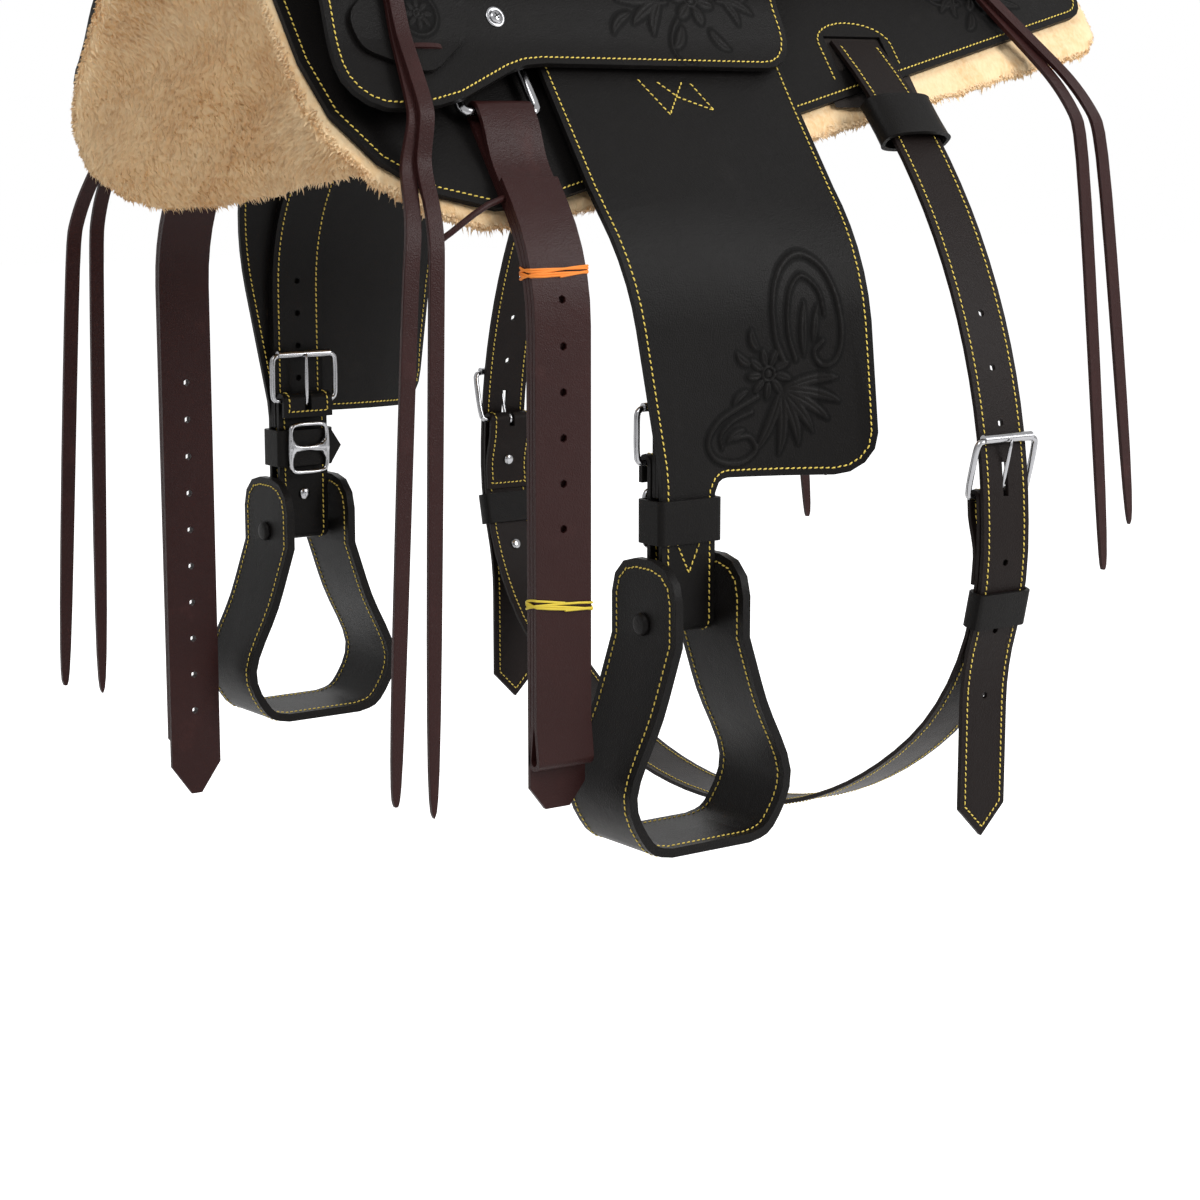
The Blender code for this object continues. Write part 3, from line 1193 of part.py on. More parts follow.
def build_plates_and_strings():
    for word, side in SIDES.items():
        outline = rounded([(-187 * MM, 168 * MM, 8 * MM), (-205 * MM, 183 * MM, 14 * MM),
                           (-200 * MM, 205 * MM, 14 * MM), (-160 * MM, 223 * MM, 18 * MM),
                           (-126 * MM, 196 * MM, 20 * MM), (-118 * MM, 168 * MM, 8 * MM)])
        panel(f"concho_plate_{word}", outline, ((), DRAPE_LINES),
              lambda y, s, t: on_back(y, s, jockey_base(s) + PLATE_N + STRAP * t, side), BLACK_LEATHER)
        level = N_JOCKEY + PLATE_N + STRING_THICK + DEE_ROOM + DEE_WIRE
        frame = slope_frame(DEE_Y, DEE_S, level, side)
        rim = [frame @ Vector((*p, 0)) for p in arc_points((0, 0), DEE_RADIUS, 0, math.tau, 16)[:-1]]
        dee = applied(wire(f"string_dee_{word}", rim, DEE_WIRE, CHROME, closed=True))
        rise = level + DEE_WIRE - N_JOCKEY - PLATE_N
        clip = box_cutter(f"dee_clip_{side}", frame, (12 * MM, 12 * MM, rise), (0, DEE_RADIUS, DEE_WIRE - rise / 2))
        cut(dee, clip, "UNION")
        fold = DEE_S + DEE_RADIUS - 2 * MM
        saddle_strings(f"front_strings_{word}", DEE_Y, side, 288 * MM,
                       [fold, *DRAPE_LINES, *[247 * MM + 7 * MM * k for k in range(5)]],
                       over_the_plate, 2 * (DEE_WIRE + DEE_ROOM) + STRING_THICK,
                       (-42 * MM, -18 * MM) if side > 0 else (-48 * MM, -18 * MM), FRONT_STRING_TIPS)
        saddle_strings(f"rear_strings_{word}", CONCHO_Y, side, 195 * MM, [CONCHO_S - 10 * MM, *FALL_LINES],
                       lambda s: rear_jockey_base(CONCHO_Y, s) + COVER + STRING_LIFT, STRING_THICK + GAP,
                       (108 * MM, 130 * MM), REAR_STRING_TIPS)


def build_screws():
    for word, side in SIDES.items():
        top = N_JOCKEY + JOCKEY + GAP
        depth = top - N_BAR - 8 * MM
        frame = slope_frame(RIG_Y, SCREW_S, top, side)
        turned(f"screw_{word}", [(0, 4.2 * MM), (4 * MM, 3.8 * MM), (6.5 * MM, 2.2 * MM), (11 * MM, 1.8 * MM),
                                 (11.5 * MM, 0.9 * MM), (11.5 * MM, 0), (2.4 * MM, 0), (2.4 * MM, -depth),
                                 (0, -depth)], CHROME, frame, steps=16)
        hole = turned(f"screw_hole_cut_{side}", [(0, 5 * MM), (2.4 * MM + GAP, 5 * MM),
                                                 (2.4 * MM + GAP, -depth - GAP), (0, -depth - GAP)], None, frame,
                      steps=16, collection=CUTTERS)
        for target in ("jockey", "rigging", "tree_bar"):
            cut(bpy.data.objects[f"{target}_{word}"], hole)
        top = N_TREE + COVER + STRING_LIFT + 2 * (STRING_THICK + GAP)
        frame = slope_frame(CONCHO_Y, CONCHO_S, top, side)
        depth = top - N_TREE - GAP
        turned(f"rear_concho_{word}", [(0, 4.5 * MM), (4 * MM, 4.2 * MM), (10 * MM, 1.8 * MM), (12 * MM, 1.6 * MM),
                                       (12.5 * MM, 0.6 * MM), (12.5 * MM, 0), (2 * MM, 0), (2 * MM, -depth),
                                       (0, -depth)], CHROME, frame, steps=18)
        hole = turned(f"concho_hole_cut_{side}", [(0, 3 * MM), (2 * MM + GAP, 3 * MM),
                                                  (2 * MM + GAP, -depth - 3 * MM), (0, -depth - 3 * MM)], None,
                      frame, steps=12, collection=CUTTERS)
        for target in ("rear_jockey", f"rear_strings_{word}"):
            cut(bpy.data.objects[target], hole)


def build_saddle():
    build_bars()
    build_fork_and_horn()
    build_cantle()
    build_seat()
    build_skirts()
    build_jockeys()
    for word, side in SIDES.items():
        build_fender_side(word, side)
    build_front_rig()
    build_flank()
    build_plates_and_strings()
    build_screws()


build_saddle()
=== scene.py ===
import json
import math
import random

import bmesh
import bpy
import numpy
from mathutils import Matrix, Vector, noise
from mathutils.bvhtree import BVHTree


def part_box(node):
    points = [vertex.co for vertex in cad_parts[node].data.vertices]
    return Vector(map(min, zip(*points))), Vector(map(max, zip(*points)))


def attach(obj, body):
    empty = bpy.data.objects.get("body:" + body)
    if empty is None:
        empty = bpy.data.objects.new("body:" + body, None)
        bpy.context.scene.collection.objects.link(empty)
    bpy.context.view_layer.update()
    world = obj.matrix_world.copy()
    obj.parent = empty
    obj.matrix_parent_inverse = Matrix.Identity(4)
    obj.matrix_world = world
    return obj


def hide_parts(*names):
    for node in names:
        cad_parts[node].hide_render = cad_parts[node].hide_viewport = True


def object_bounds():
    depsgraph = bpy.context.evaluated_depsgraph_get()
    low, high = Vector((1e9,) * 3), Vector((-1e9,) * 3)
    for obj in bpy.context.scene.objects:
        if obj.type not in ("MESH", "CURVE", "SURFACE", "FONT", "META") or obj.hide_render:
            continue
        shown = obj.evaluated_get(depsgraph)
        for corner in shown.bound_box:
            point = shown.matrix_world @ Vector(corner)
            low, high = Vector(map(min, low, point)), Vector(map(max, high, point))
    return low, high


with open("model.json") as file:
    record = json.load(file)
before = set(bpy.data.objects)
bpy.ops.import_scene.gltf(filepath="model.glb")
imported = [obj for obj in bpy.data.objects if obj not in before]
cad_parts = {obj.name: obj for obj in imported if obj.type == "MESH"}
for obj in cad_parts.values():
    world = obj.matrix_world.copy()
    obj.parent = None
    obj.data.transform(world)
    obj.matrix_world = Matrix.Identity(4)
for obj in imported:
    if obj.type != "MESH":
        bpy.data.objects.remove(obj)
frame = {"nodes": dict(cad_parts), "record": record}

nodes = frame["nodes"]
scene = bpy.context.scene
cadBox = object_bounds()
mm = 0.001
sides = {"near": 1, "off": -1}
bodies = frame["record"]["behaviour"]["bodies"]
bodyOf = {node: body for body, members in bodies.items() for node in members}
rng = random.Random(7)


# camera, light and floor

view = {"place": (1.551, -1.036, -0.155), "azimuth": 54.0, "pitch": 10.08, "lens": 82.3}
light = {"key": 38.0, "fill": 46.0, "rim": 12.0, "world": 0.22, "floorDrop": 0.12, "floorGlow": 0.89}


def aimed(name, data, place, target):
    thing = bpy.data.objects.new(name, data)
    scene.collection.objects.link(thing)
    thing.location = place
    thing.rotation_euler = (Vector(target) - Vector(place)).to_track_quat("-Z", "Y").to_euler()
    return thing


def softbox(name, place, target, size, watts):
    lamp = bpy.data.lights.new(name, "AREA")
    lamp.shape = "RECTANGLE"
    lamp.size, lamp.size_y = size
    lamp.energy = watts
    return aimed(name, lamp, place, target)


def setUpView():
    turn, tilt = math.radians(view["azimuth"]), math.radians(view["pitch"])
    ahead = Vector((-math.sin(turn) * math.cos(tilt), math.cos(turn) * math.cos(tilt), -math.sin(tilt)))
    camera = bpy.data.cameras.new("photographer")
    camera.lens, camera.sensor_width = view["lens"], 36.0
    camera.clip_end = 30.0
    scene.camera = aimed("photographer", camera, view["place"], Vector(view["place"]) + ahead)


setUpView()
print("camera set")


# shader writing: a socket that takes part in Python sums

class Wire:
    def __init__(self, shader, socket):
        self.shader, self.socket = shader, socket

    def sum(self, operation, *others, flip=False):
        terms = [self, *others]
        return self.shader.add("ShaderNodeMath", {"operation": operation},
                               dict(enumerate(reversed(terms) if flip else terms)))

    def __add__(self, other):
        return self.sum("ADD", other)

    __radd__ = __add__

    def __mul__(self, other):
        return self.sum("MULTIPLY", other)

    __rmul__ = __mul__

    def __sub__(self, other):
        return self.sum("SUBTRACT", other)

    def __rsub__(self, other):
        return self.sum("SUBTRACT", other, flip=True)

    def __truediv__(self, other):
        return self.sum("DIVIDE", other)

    def clamped(self):
        return self.shader.add("ShaderNodeClamp", {}, {"Value": self})


class Shader:
    def __init__(self, name, kind="Material"):
        self.owner = (bpy.data.worlds if kind == "World" else bpy.data.materials).new(name)
        self.owner.use_nodes = True
        self.tree = self.owner.node_tree
        self.tree.nodes.clear()
        self.output = self.tree.nodes.new("ShaderNodeOutput" + kind)

    def add(self, kind, settings, sockets, out=0):
        node = self.tree.nodes.new(kind)
        for key, value in settings.items():
            setattr(node, key, value)
        for key, value in sockets.items():
            socket = node.inputs[key]
            if isinstance(value, Wire):
                self.tree.links.new(value.socket, socket)
            elif socket.type == "RGBA" and len(value) == 3:
                socket.default_value = (*value, 1.0)
            else:
                socket.default_value = value
        return Wire(self, node.outputs[out])

    def place(self):
        return self.add("ShaderNodeTexCoord", {}, {}, "Object")

    def cloud(self, scale, detail=3.0, rough=0.5, where=None):
        return self.add("ShaderNodeTexNoise", {}, {"Vector": where or self.place(), "Scale": scale,
                                                   "Detail": detail, "Roughness": rough})

    def cells(self, scale, where=None, feature="F1"):
        return self.add("ShaderNodeTexVoronoi", {"feature": feature},
                        {"Vector": where or self.place(), "Scale": scale})

    def mix(self, share, first, second):
        return self.add("ShaderNodeMix", {"data_type": "RGBA"}, {0: share, 6: first, 7: second}, 2)

    def stretch(self, scales):
        return self.add("ShaderNodeMapping", {}, {"Vector": self.place(), "Scale": scales})

    def mask(self, value, low, high):
        return self.add("ShaderNodeMapRange", {"interpolation_type": "SMOOTHSTEP"},
                        {"Value": value, "From Min": low, "From Max": high})

    def bump(self, height, depth, strength=1.0, below=None):
        sockets = {"Height": height, "Distance": depth, "Strength": strength}
        if below:
            sockets["Normal"] = below
        return self.add("ShaderNodeBump", {}, sockets)

    def end(self, surface):
        self.tree.links.new(surface.socket, self.output.inputs["Surface"])
        return self.owner

    def finish(self, **sockets):
        values = {key.replace("_", " "): value for key, value in sockets.items()}
        return self.end(self.add("ShaderNodeBsdfPrincipled", {}, values))


leatherLook = {"grain": 1150.0, "pores": 2600.0, "grainDepth": 0.00050, "creases": 46.0}


def leather(name, colour, pale, roughness, carved=False, shine=0.065):
    shader = Shader(name)
    grain = shader.cells(leatherLook["grain"], feature="SMOOTH_F1")
    pores = shader.cloud(leatherLook["pores"], 2.0)
    creases = shader.cloud(leatherLook["creases"], 5.0, 0.6)
    blotch = shader.cloud(9.0, 4.0, 0.6)
    rubbed = shader.mask(shader.cloud(21.0, 6.0, 0.7), 0.56, 0.80)
    tone = shader.mix(blotch.clamped(), colour, pale)
    tone = shader.mix(rubbed * 0.35, tone, [min(1.0, c * 2.1 + 0.004) for c in pale])
    gloss = roughness + (blotch - 0.5) * 0.22 + rubbed * 0.08 + (grain - 0.3) * 0.05
    if carved:
        # painted shade: where the carve attribute is low (the carved ground) the colour is darkened towards
        # a quarter of itself; raised figures keep the plain tone
        depth = shader.add("ShaderNodeAttribute", {"attribute_name": "carve"}, {}, "Fac")
        tone = shader.mix(depth.clamped(), [c * 0.25 for c in colour], tone)
        gloss = gloss + (1.0 - depth.clamped()) * 0.30 - 0.08
    lines = shader.bump(creases, 0.0012, 0.35)
    normal = shader.bump(grain * 0.75 + pores * 0.35, leatherLook["grainDepth"], 0.55, lines)
    return shader.finish(Base_Color=tone, Roughness=gloss.clamped(), Normal=normal,
                         Specular_IOR_Level=shine)


def cutEdge(name, colour, pale):
    shader = Shader(name)
    layers = shader.cloud(900.0, 2.0)
    burnish = shader.cloud(60.0, 4.0, 0.6)
    tone = shader.mix(shader.mask(burnish + layers * 0.3, 0.45, 0.85), colour, pale)
    return shader.finish(Base_Color=tone, Roughness=0.62 - burnish * 0.2, Specular_IOR_Level=0.25,
                         Normal=shader.bump(layers, 0.0003, 0.5))


def rough(name, colour, pale, nap=1700.0, depth=0.0005, sheen=0.25):
    shader = Shader(name)
    fibre = shader.cloud(nap, 3.0, 0.6, shader.stretch((1.0, 0.7, 0.35)))
    brushed = shader.cloud(34.0, 5.0, 0.65)
    tone = shader.mix(shader.mask(brushed + fibre * 0.35, 0.4, 0.95), colour, pale)
    return shader.finish(Base_Color=tone, Roughness=0.93 - brushed * 0.12, Specular_IOR_Level=0.12,
                         Sheen_Weight=sheen, Normal=shader.bump(fibre + brushed * 0.4, depth, 0.6))


def metal(name, colour, roughness, dull=0.10):
    shader = Shader(name)
    haze = shader.cloud(55.0, 5.0, 0.7)
    scratch = shader.cloud(700.0, 2.0, 0.5, shader.stretch((1.0, 0.2, 1.0)))
    tone = shader.mix(shader.mask(haze, 0.5, 0.8), colour, [c * 0.72 for c in colour])
    return shader.finish(Base_Color=tone, Metallic=1.0, Roughness=roughness + haze * dull,
                         Normal=shader.bump(scratch + haze, 0.00006, 0.35))


def wool():
    shader = Shader("fleece_pile")
    clump = shader.cloud(26.0, 5.0, 0.65)
    strand = shader.cloud(420.0, 3.0, 0.6, shader.stretch((1.0, 1.0, 0.35)))
    curl = shader.cells(150.0)
    tip = shader.add("ShaderNodeAttribute", {"attribute_name": "tip"}, {}, "Fac")
    tone = shader.mix(shader.mask(clump, 0.33, 0.60), (0.80, 0.51, 0.25), (0.94, 0.68, 0.39))
    tone = shader.mix(shader.mask(strand + curl * 0.3, 0.45, 0.9) * 0.6, tone, (0.96, 0.76, 0.49))
    tone = shader.mix(tip.clamped() * 0.6, tone, (0.97, 0.79, 0.54))
    return shader.finish(Base_Color=tone, Roughness=0.97, Specular_IOR_Level=0.08, Sheen_Weight=0.12,
                         Sheen_Roughness=0.6, Normal=shader.bump(strand + curl * 0.6, 0.0016, 0.5))


def thread(name, colour, pale):
    shader = Shader(name)
    strands = shader.cloud(2400.0, 2.0)
    tone = shader.mix(strands, colour, pale)
    return shader.finish(Base_Color=tone, Roughness=0.6, Specular_IOR_Level=0.3,
                         Normal=shader.bump(strands, 0.0002, 0.5))


def rawhide():
    shader = Shader("rawhide_cover")
    veins = shader.cells(70.0, feature="DISTANCE_TO_EDGE")
    cloudy = shader.cloud(30.0, 5.0, 0.6)
    tone = shader.mix(shader.mask(cloudy, 0.3, 0.7), (0.36, 0.26, 0.15), (0.50, 0.38, 0.24))
    return shader.finish(Base_Color=tone, Roughness=0.55 - cloudy * 0.15, Specular_IOR_Level=0.3,
                         Normal=shader.bump(shader.mask(veins, 0.0, 0.06) + cloudy, 0.0006, 0.5))


looks = {
    "black": leather("black_leather", (0.0048, 0.0044, 0.0043), (0.0080, 0.0072, 0.0068), 0.40),
    "dark brown": leather("flank_leather", (0.0075, 0.0052, 0.0048), (0.0125, 0.0088, 0.0080), 0.40),
    # carved leather: its colour carries painted shade in the carved ground
    "carved": leather("carved_leather_painted_shade", (0.0066, 0.0060, 0.0057), (0.0105, 0.0095, 0.0090), 0.40,
                      carved=True),
    "stirrup": leather("stirrup_leather_cover", (0.0060, 0.0054, 0.0053), (0.0095, 0.0087, 0.0084), 0.38),
    "brown": leather("latigo_leather", (0.0200, 0.0062, 0.0058), (0.0340, 0.0110, 0.0100), 0.34,
                     shine=0.11),
    "flesh": rough("flesh_side", (0.050, 0.024, 0.017), (0.095, 0.052, 0.036), sheen=0.15),
    "dark flesh": rough("black_flesh_side", (0.014, 0.011, 0.010), (0.030, 0.024, 0.021), sheen=0.1),
    "edge": cutEdge("cut_edge", (0.024, 0.013, 0.010), (0.105, 0.058, 0.038)),
    "brown edge": cutEdge("latigo_cut_edge", (0.030, 0.012, 0.009), (0.090, 0.040, 0.026)),
    "suede": rough("seat_suede", (0.013, 0.0115, 0.0105), (0.034, 0.030, 0.028)),
    "wool": wool(),
    "chrome": metal("polished_chrome", (0.30, 0.30, 0.31), 0.13),
    "yellow": thread("yellow_thread", (0.70, 0.50, 0.06), (0.95, 0.74, 0.18)),
    "lime": thread("yellow_tie_thread", (0.62, 0.46, 0.03), (0.84, 0.66, 0.09)),
    "orange": thread("orange_tie_thread", (0.86, 0.20, 0.02), (0.96, 0.34, 0.06)),
    "rawhide": rawhide(),
    # painted shade: near-black finish for the box that stands in for the jockey screws' cross recess
    "dark": cutEdge("screw_recess_painted_shade", (0.010, 0.010, 0.010), (0.022, 0.022, 0.022)),
}
print("materials made")


# the sheet lines that the leather hangs along, in millimetres from the spine

back = {"radius": 70.0, "slope": math.radians(54), "turn": 300.0, "turnLength": 70.0}
spineArc = back["radius"] * back["slope"]
slopeLine = [(spineArc, back["slope"]), (1e5, back["slope"])]
fenderLine = [(spineArc, back["slope"]), (back["turn"] - spineArc, back["slope"]),
              (back["turnLength"], math.pi / 2), (1e5, math.pi / 2)]


def onLine(line, s):
    x = z = slope = 0.0
    for length, end in line:
        run = min(s, length)
        turn = (end - slope) * run / length
        if abs(turn) > 1e-6:
            radius = run / turn
            x += radius * (math.sin(slope + turn) - math.sin(slope))
            z += radius * (math.cos(slope + turn) - math.cos(slope))
        else:
            x += run * math.cos(slope)
            z -= run * math.sin(slope)
        slope += turn
        s -= run
        if s <= 1e-9:
            break
    return x, z, slope


def onHide(tree, line, y, s, side, reach=0.11):
    x, z, slope = onLine(line, abs(s))
    side = -side if s < 0 else side
    out = Vector((side * math.sin(slope), 0.0, math.cos(slope)))
    start = Vector((side * x * mm, y * mm, z * mm)) + out * reach
    spot, normal, _, _ = tree.ray_cast(start, -out, reach)
    if spot is None:
        return None
    return spot, (normal if normal.dot(out) > 0 else -normal)


# pieces made from the frame's own solids: leather with cut edges and a rounded arris

def addPiece(name, mesh, body, *materials):
    thing = bpy.data.objects.new(name, mesh)
    scene.collection.objects.link(thing)
    if materials:
        mesh.materials.clear()
        for material in materials:
            mesh.materials.append(material)
    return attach(thing, body)


def welded(node):
    bm = bmesh.new()
    bm.from_mesh(nodes[node].data)
    bmesh.ops.remove_doubles(bm, verts=bm.verts, dist=3e-6)
    bm.normal_update()
    return bm


def smoothed(mesh, angle=None):
    for face in mesh.polygons:
        face.use_smooth = True
    if angle:
        mesh.set_sharp_from_angle(angle=math.radians(angle))
    return mesh


def meshOf(name, bm):
    mesh = bpy.data.meshes.new(name)
    bm.to_mesh(mesh)
    bm.free()
    return mesh


def meshFrom(name, verts, faces):
    mesh = bpy.data.meshes.new(name)
    mesh.from_pydata(verts, [], faces)
    return mesh


def circle(count):
    return [math.tau * k / count for k in range(count)]


def joinRings(bm, rings):
    for low, high in zip(rings, rings[1:]):
        for k in range(len(low)):
            after = (k + 1) % len(low)
            bm.faces.new((low[k], low[after], high[after], high[k]))


def sortFaces(bm, thick):
    tree = BVHTree.FromBMesh(bm)
    for face in bm.faces:
        spot = face.calc_center_median() - face.normal * 1e-5
        hit = tree.ray_cast(spot, -face.normal, 0.5)
        face.material_index = 0 if hit[0] is not None and hit[3] < thick * 1.7 else 1
    for face in bm.faces:
        if face.material_index == 1:
            near = [f.material_index for e in face.edges for f in e.link_faces
                    if f is not face and f.normal.dot(face.normal) > 0.985]
            if near and not any(near):
                face.material_index = 0
    done, groups = set(), []
    for first in bm.faces:
        if first in done or first.material_index:
            continue
        group, todo = [], [first]
        done.add(first)
        while todo:
            face = todo.pop()
            group.append(face)
            for edge in face.edges:
                for other in edge.link_faces:
                    turned = other.normal.dot(face.normal) <= 0.5
                    if other not in done and not other.material_index and not turned:
                        done.add(other)
                        todo.append(other)
        groups.append(group)
    groups.sort(key=lambda g: -sum(f.calc_area() for f in g))
    pair = groups[:2]
    pair.sort(key=lambda g: -sum(f.calc_area() * f.normal.dot(outwards(f.calc_center_median())) for f in g))
    return pair


def outwards(point):
    return Vector((point.x, 0.0, point.z + 0.33)).normalized()


def rims(group):
    inside = set(group)
    follow = {}
    for face in group:
        for loop in face.loops:
            if all(f in inside for f in loop.edge.link_faces):
                continue
            start, end = loop.vert, loop.link_loop_next.vert
            inward = face.normal.cross(end.co - start.co).normalized()
            follow[start.index] = (end.index, start.co.copy(), end.co.copy(), inward)
    loops = []
    while follow:
        first = next(iter(follow))
        key, chain = first, []
        while key in follow:
            key, a, b, inward = follow.pop(key)
            chain.append((a, b, inward))
        if key == first and len(chain) > 3:
            loops.append(chain)
    return loops


stitch = {"pitch": 3.9 * mm, "length": 2.9 * mm, "radius": 0.54 * mm, "slant": 0.18, "smallest": 0.2}


def seam(points, normals, target, pitch=None):
    pitch = pitch or stitch["pitch"]
    travelled, goal = 0.0, pitch / 2
    for (a, b), (na, nb) in zip(zip(points, points[1:]), zip(normals, normals[1:])):
        run = (b - a).length
        if run > 0.014:
            travelled, goal = 0.0, pitch / 2
            continue
        while run > 0 and goal <= travelled + run:
            share = (goal - travelled) / run
            target.append((a.lerp(b, share), (b - a).normalized(), na.lerp(nb, share).normalized()))
            goal += pitch
        travelled += run


def stitchRow(chain, surface, inset, target):
    around, limit = [], 0.0025
    for a, b, inward in chain:
        steps = max(1, int((b - a).length / limit))
        around += [(a.lerp(b, k / steps), inward) for k in range(steps)]
    if sum((b - a).length for a, b, _ in chain) < stitch["smallest"]:
        return
    count = len(around)
    edge = numpy.array([p for p, _ in around])
    points, normals = [], []
    for i in range(count):
        p = around[i][0]
        turn = sum((around[(i + k) % count][1] for k in (-1, 0, 1)), Vector())
        if turn.length < 1e-6:
            continue
        spot, normal, _, _ = surface.find_nearest(p + turn.normalized() * inset)
        if spot is None or numpy.min(numpy.linalg.norm(edge - numpy.array(spot), axis=1)) < inset * 0.90:
            continue
        points.append(spot)
        normals.append(normal)
    if len(points) > 4:
        seam(points + points[:1], normals + normals[:1], target)


def stitchMesh(name, stitches, lift=0.00012):
    verts, faces = [], []
    rx, rz, half = stitch["radius"], stitch["radius"] * 0.8, stitch["length"] / 2
    rings = [(-half, 0.15, -0.5), (-half * 0.62, 0.9, 0.3), (half * 0.62, 0.9, 0.3), (half, 0.15, -0.5)]
    for spot, along, normal in stitches:
        along = (along - normal * along.dot(normal)).normalized()
        along = (along + normal.cross(along) * stitch["slant"]).normalized()
        across = normal.cross(along)
        base = len(verts)
        for at, size, up in rings:
            for turn in range(5):
                a = math.tau * turn / 5 + 0.3
                verts.append(spot + along * at + across * rx * size * math.cos(a)
                             + normal * (rz * (size * math.sin(a) + up) + lift))
        for ring in range(3):
            for turn in range(5):
                low, nxt = base + ring * 5 + turn, base + ring * 5 + (turn + 1) % 5
                faces.append((low, nxt, nxt + 5, low + 5))
        faces += [tuple(base + k for k in reversed(range(5))), tuple(base + 15 + k for k in range(5))]
    return smoothed(meshFrom(name, verts, faces))


hides = {}      # node: tree of its dressed surface
stitched = {}   # body: rows of stitches that ride on it


def treeOf(mesh):
    return BVHTree.FromPolygons([v.co for v in mesh.vertices], [tuple(p.vertices) for p in mesh.polygons])


def sharpEdges(bm, angle):
    return [e for e in bm.edges if len(e.link_faces) == 2 and e.calc_face_angle(0.0) > math.radians(angle)]


flatWithin = math.radians(0.7)


def dress(node, thick, face="black", edge="edge", inner=None, rows=(), innerRows=(), arris=0.45 * mm):
    bm = welded(node)
    pair = sortFaces(bm, thick)
    bm.verts.index_update()
    body = bodyOf[node]
    jobs = [(pair[0], rows)] + ([(pair[1], innerRows)] if len(pair) > 1 else [])
    for group, insets in jobs:
        if not insets:
            continue
        part = {v: i for i, v in enumerate({v for f in group for v in f.verts})}
        corners = [[part[v] for v in f.verts] for f in group]
        surface = BVHTree.FromPolygons([v.co.copy() for v in part], corners)
        for chain in rims(group):
            for inset in insets:
                stitchRow(chain, surface, inset * mm, stitched.setdefault(body, []))
    if inner and len(pair) > 1:
        for f in pair[1]:
            f.material_index = 2
    bmesh.ops.dissolve_limit(bm, angle_limit=flatWithin, verts=bm.verts, edges=bm.edges,
                             delimit={"MATERIAL"})
    bmesh.ops.bevel(bm, geom=sharpEdges(bm, 38), offset=arris, segments=2, profile=0.6, affect="EDGES",
                    clamp_overlap=True, material=-1, loop_slide=True)
    mesh = smoothed(meshOf(node + "_leather", bm), 32)
    piece = addPiece(mesh.name, mesh, body, looks[face], looks[edge], looks[inner or face])
    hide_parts(node)
    steady = piece.modifiers.new("steady_shading", "WEIGHTED_NORMAL")
    steady.keep_sharp = True
    hides[node] = treeOf(mesh)


def supple(piece, levels):
    soft = piece.modifiers.new("supple", "SUBSURF")
    soft.levels = soft.render_levels = levels


def rounded(node, look, crease=None):
    bm = welded(node)
    if crease:
        bmesh.ops.dissolve_limit(bm, angle_limit=flatWithin, verts=bm.verts, edges=bm.edges)
        bmesh.ops.bevel(bm, geom=sharpEdges(bm, crease), offset=0.35 * mm, segments=1, profile=0.6,
                        affect="EDGES", clamp_overlap=True)
    mesh = smoothed(meshOf(node + "_finish", bm), 40)
    piece = addPiece(mesh.name, mesh, bodyOf[node], looks[look])
    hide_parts(node)
    supple(piece, 1)


for word in sides:
    dress(f"skirt_{word}", 4 * mm, rows=(5,))
    dress(f"jockey_{word}", 4 * mm, rows=(4.5,))
    dress(f"fender_{word}", 3.5 * mm, rows=(4.5,), innerRows=(4.5,), inner="dark flesh")
    dress(f"stirrup_leather_{word}", 3 * mm, rows=(4.5,), innerRows=(4.5,))
    dress(f"hobble_{word}", 3 * mm)
    dress(f"stirrup_{word}", 6 * mm, face="stirrup", rows=(5.5,), innerRows=(5.5,))
    dress(f"rigging_{word}", 3 * mm, rows=(4,))
    dress(f"concho_plate_{word}", 3 * mm)
    dress(f"flank_billet_{word}", 3 * mm, face="dark brown", rows=(4.5,), innerRows=(4.5,),
          inner="dark flesh")
    dress(f"flank_keeper_{word}", 2 * mm, arris=0.3 * mm)
    dress(f"front_strings_{word}", 3 * mm, face="brown", edge="brown edge", inner="flesh", arris=0.35 * mm)
    dress(f"rear_strings_{word}", 3 * mm, face="brown", edge="brown edge", inner="flesh", arris=0.35 * mm)
    for metalNode in ("rigging_dee", "string_dee", "leather_buckle", "leather_tongue", "hobble_buckle",
                      "flank_buckle", "flank_tongue"):
        rounded(f"{metalNode}_{word}", "chrome")
    for metalNode in ("screw", "rear_concho"):
        rounded(f"{metalNode}_{word}", "chrome", crease=30)
    rounded(f"stirrup_bolt_{word}", "stirrup", crease=30)
dress("rear_jockey", 3 * mm, rows=(4.5,))
dress("flank_cinch", 3 * mm, face="dark brown", rows=(4.5,), innerRows=(4.5,), inner="dark flesh")
dress("latigo", 3 * mm, face="brown", edge="brown edge", inner="flesh")
dress("off_billet", 6.3 * mm, face="brown", edge="brown edge", inner="flesh")
dress("fork_cover", 3.3 * mm, arris=0.6 * mm, rows=(4.5,))
dress("tree_cantle", 15 * mm, face="black", edge="black", arris=1 * mm)
dress("ground_seat", 60 * mm, face="black", edge="black", arris=1 * mm)
rounded("horn_core", "black", crease=30)
rounded("horn_cover", "black", crease=30)
rounded("cantle_roll", "black")
for word in sides:
    for end in ("front", "rear"):
        supple(bpy.data.objects[f"{end}_strings_{word}_leather"], 2)
    nodes[f"tree_bar_{word}"].data.materials[0] = looks["rawhide"]
nodes["tree_fork"].data.materials[0] = looks["rawhide"]
print("leather and metal dressed")


# the padded seat and the fleece linings

def remade(node, voxel):
    draft = bpy.data.objects.new("draft", meshOf("draft", welded(node)))
    scene.collection.objects.link(draft)
    remesh = draft.modifiers.new("voxels", "REMESH")
    remesh.mode, remesh.voxel_size = "VOXEL", voxel
    graph = bpy.context.evaluated_depsgraph_get()
    ready = bpy.data.meshes.new_from_object(draft.evaluated_get(graph))
    bpy.data.objects.remove(draft)
    bm = bmesh.new()
    bm.from_mesh(ready)
    bmesh.ops.smooth_vert(bm, verts=bm.verts, factor=0.5, use_axis_x=True, use_axis_y=True,
                          use_axis_z=True)
    bm.normal_update()
    return bm


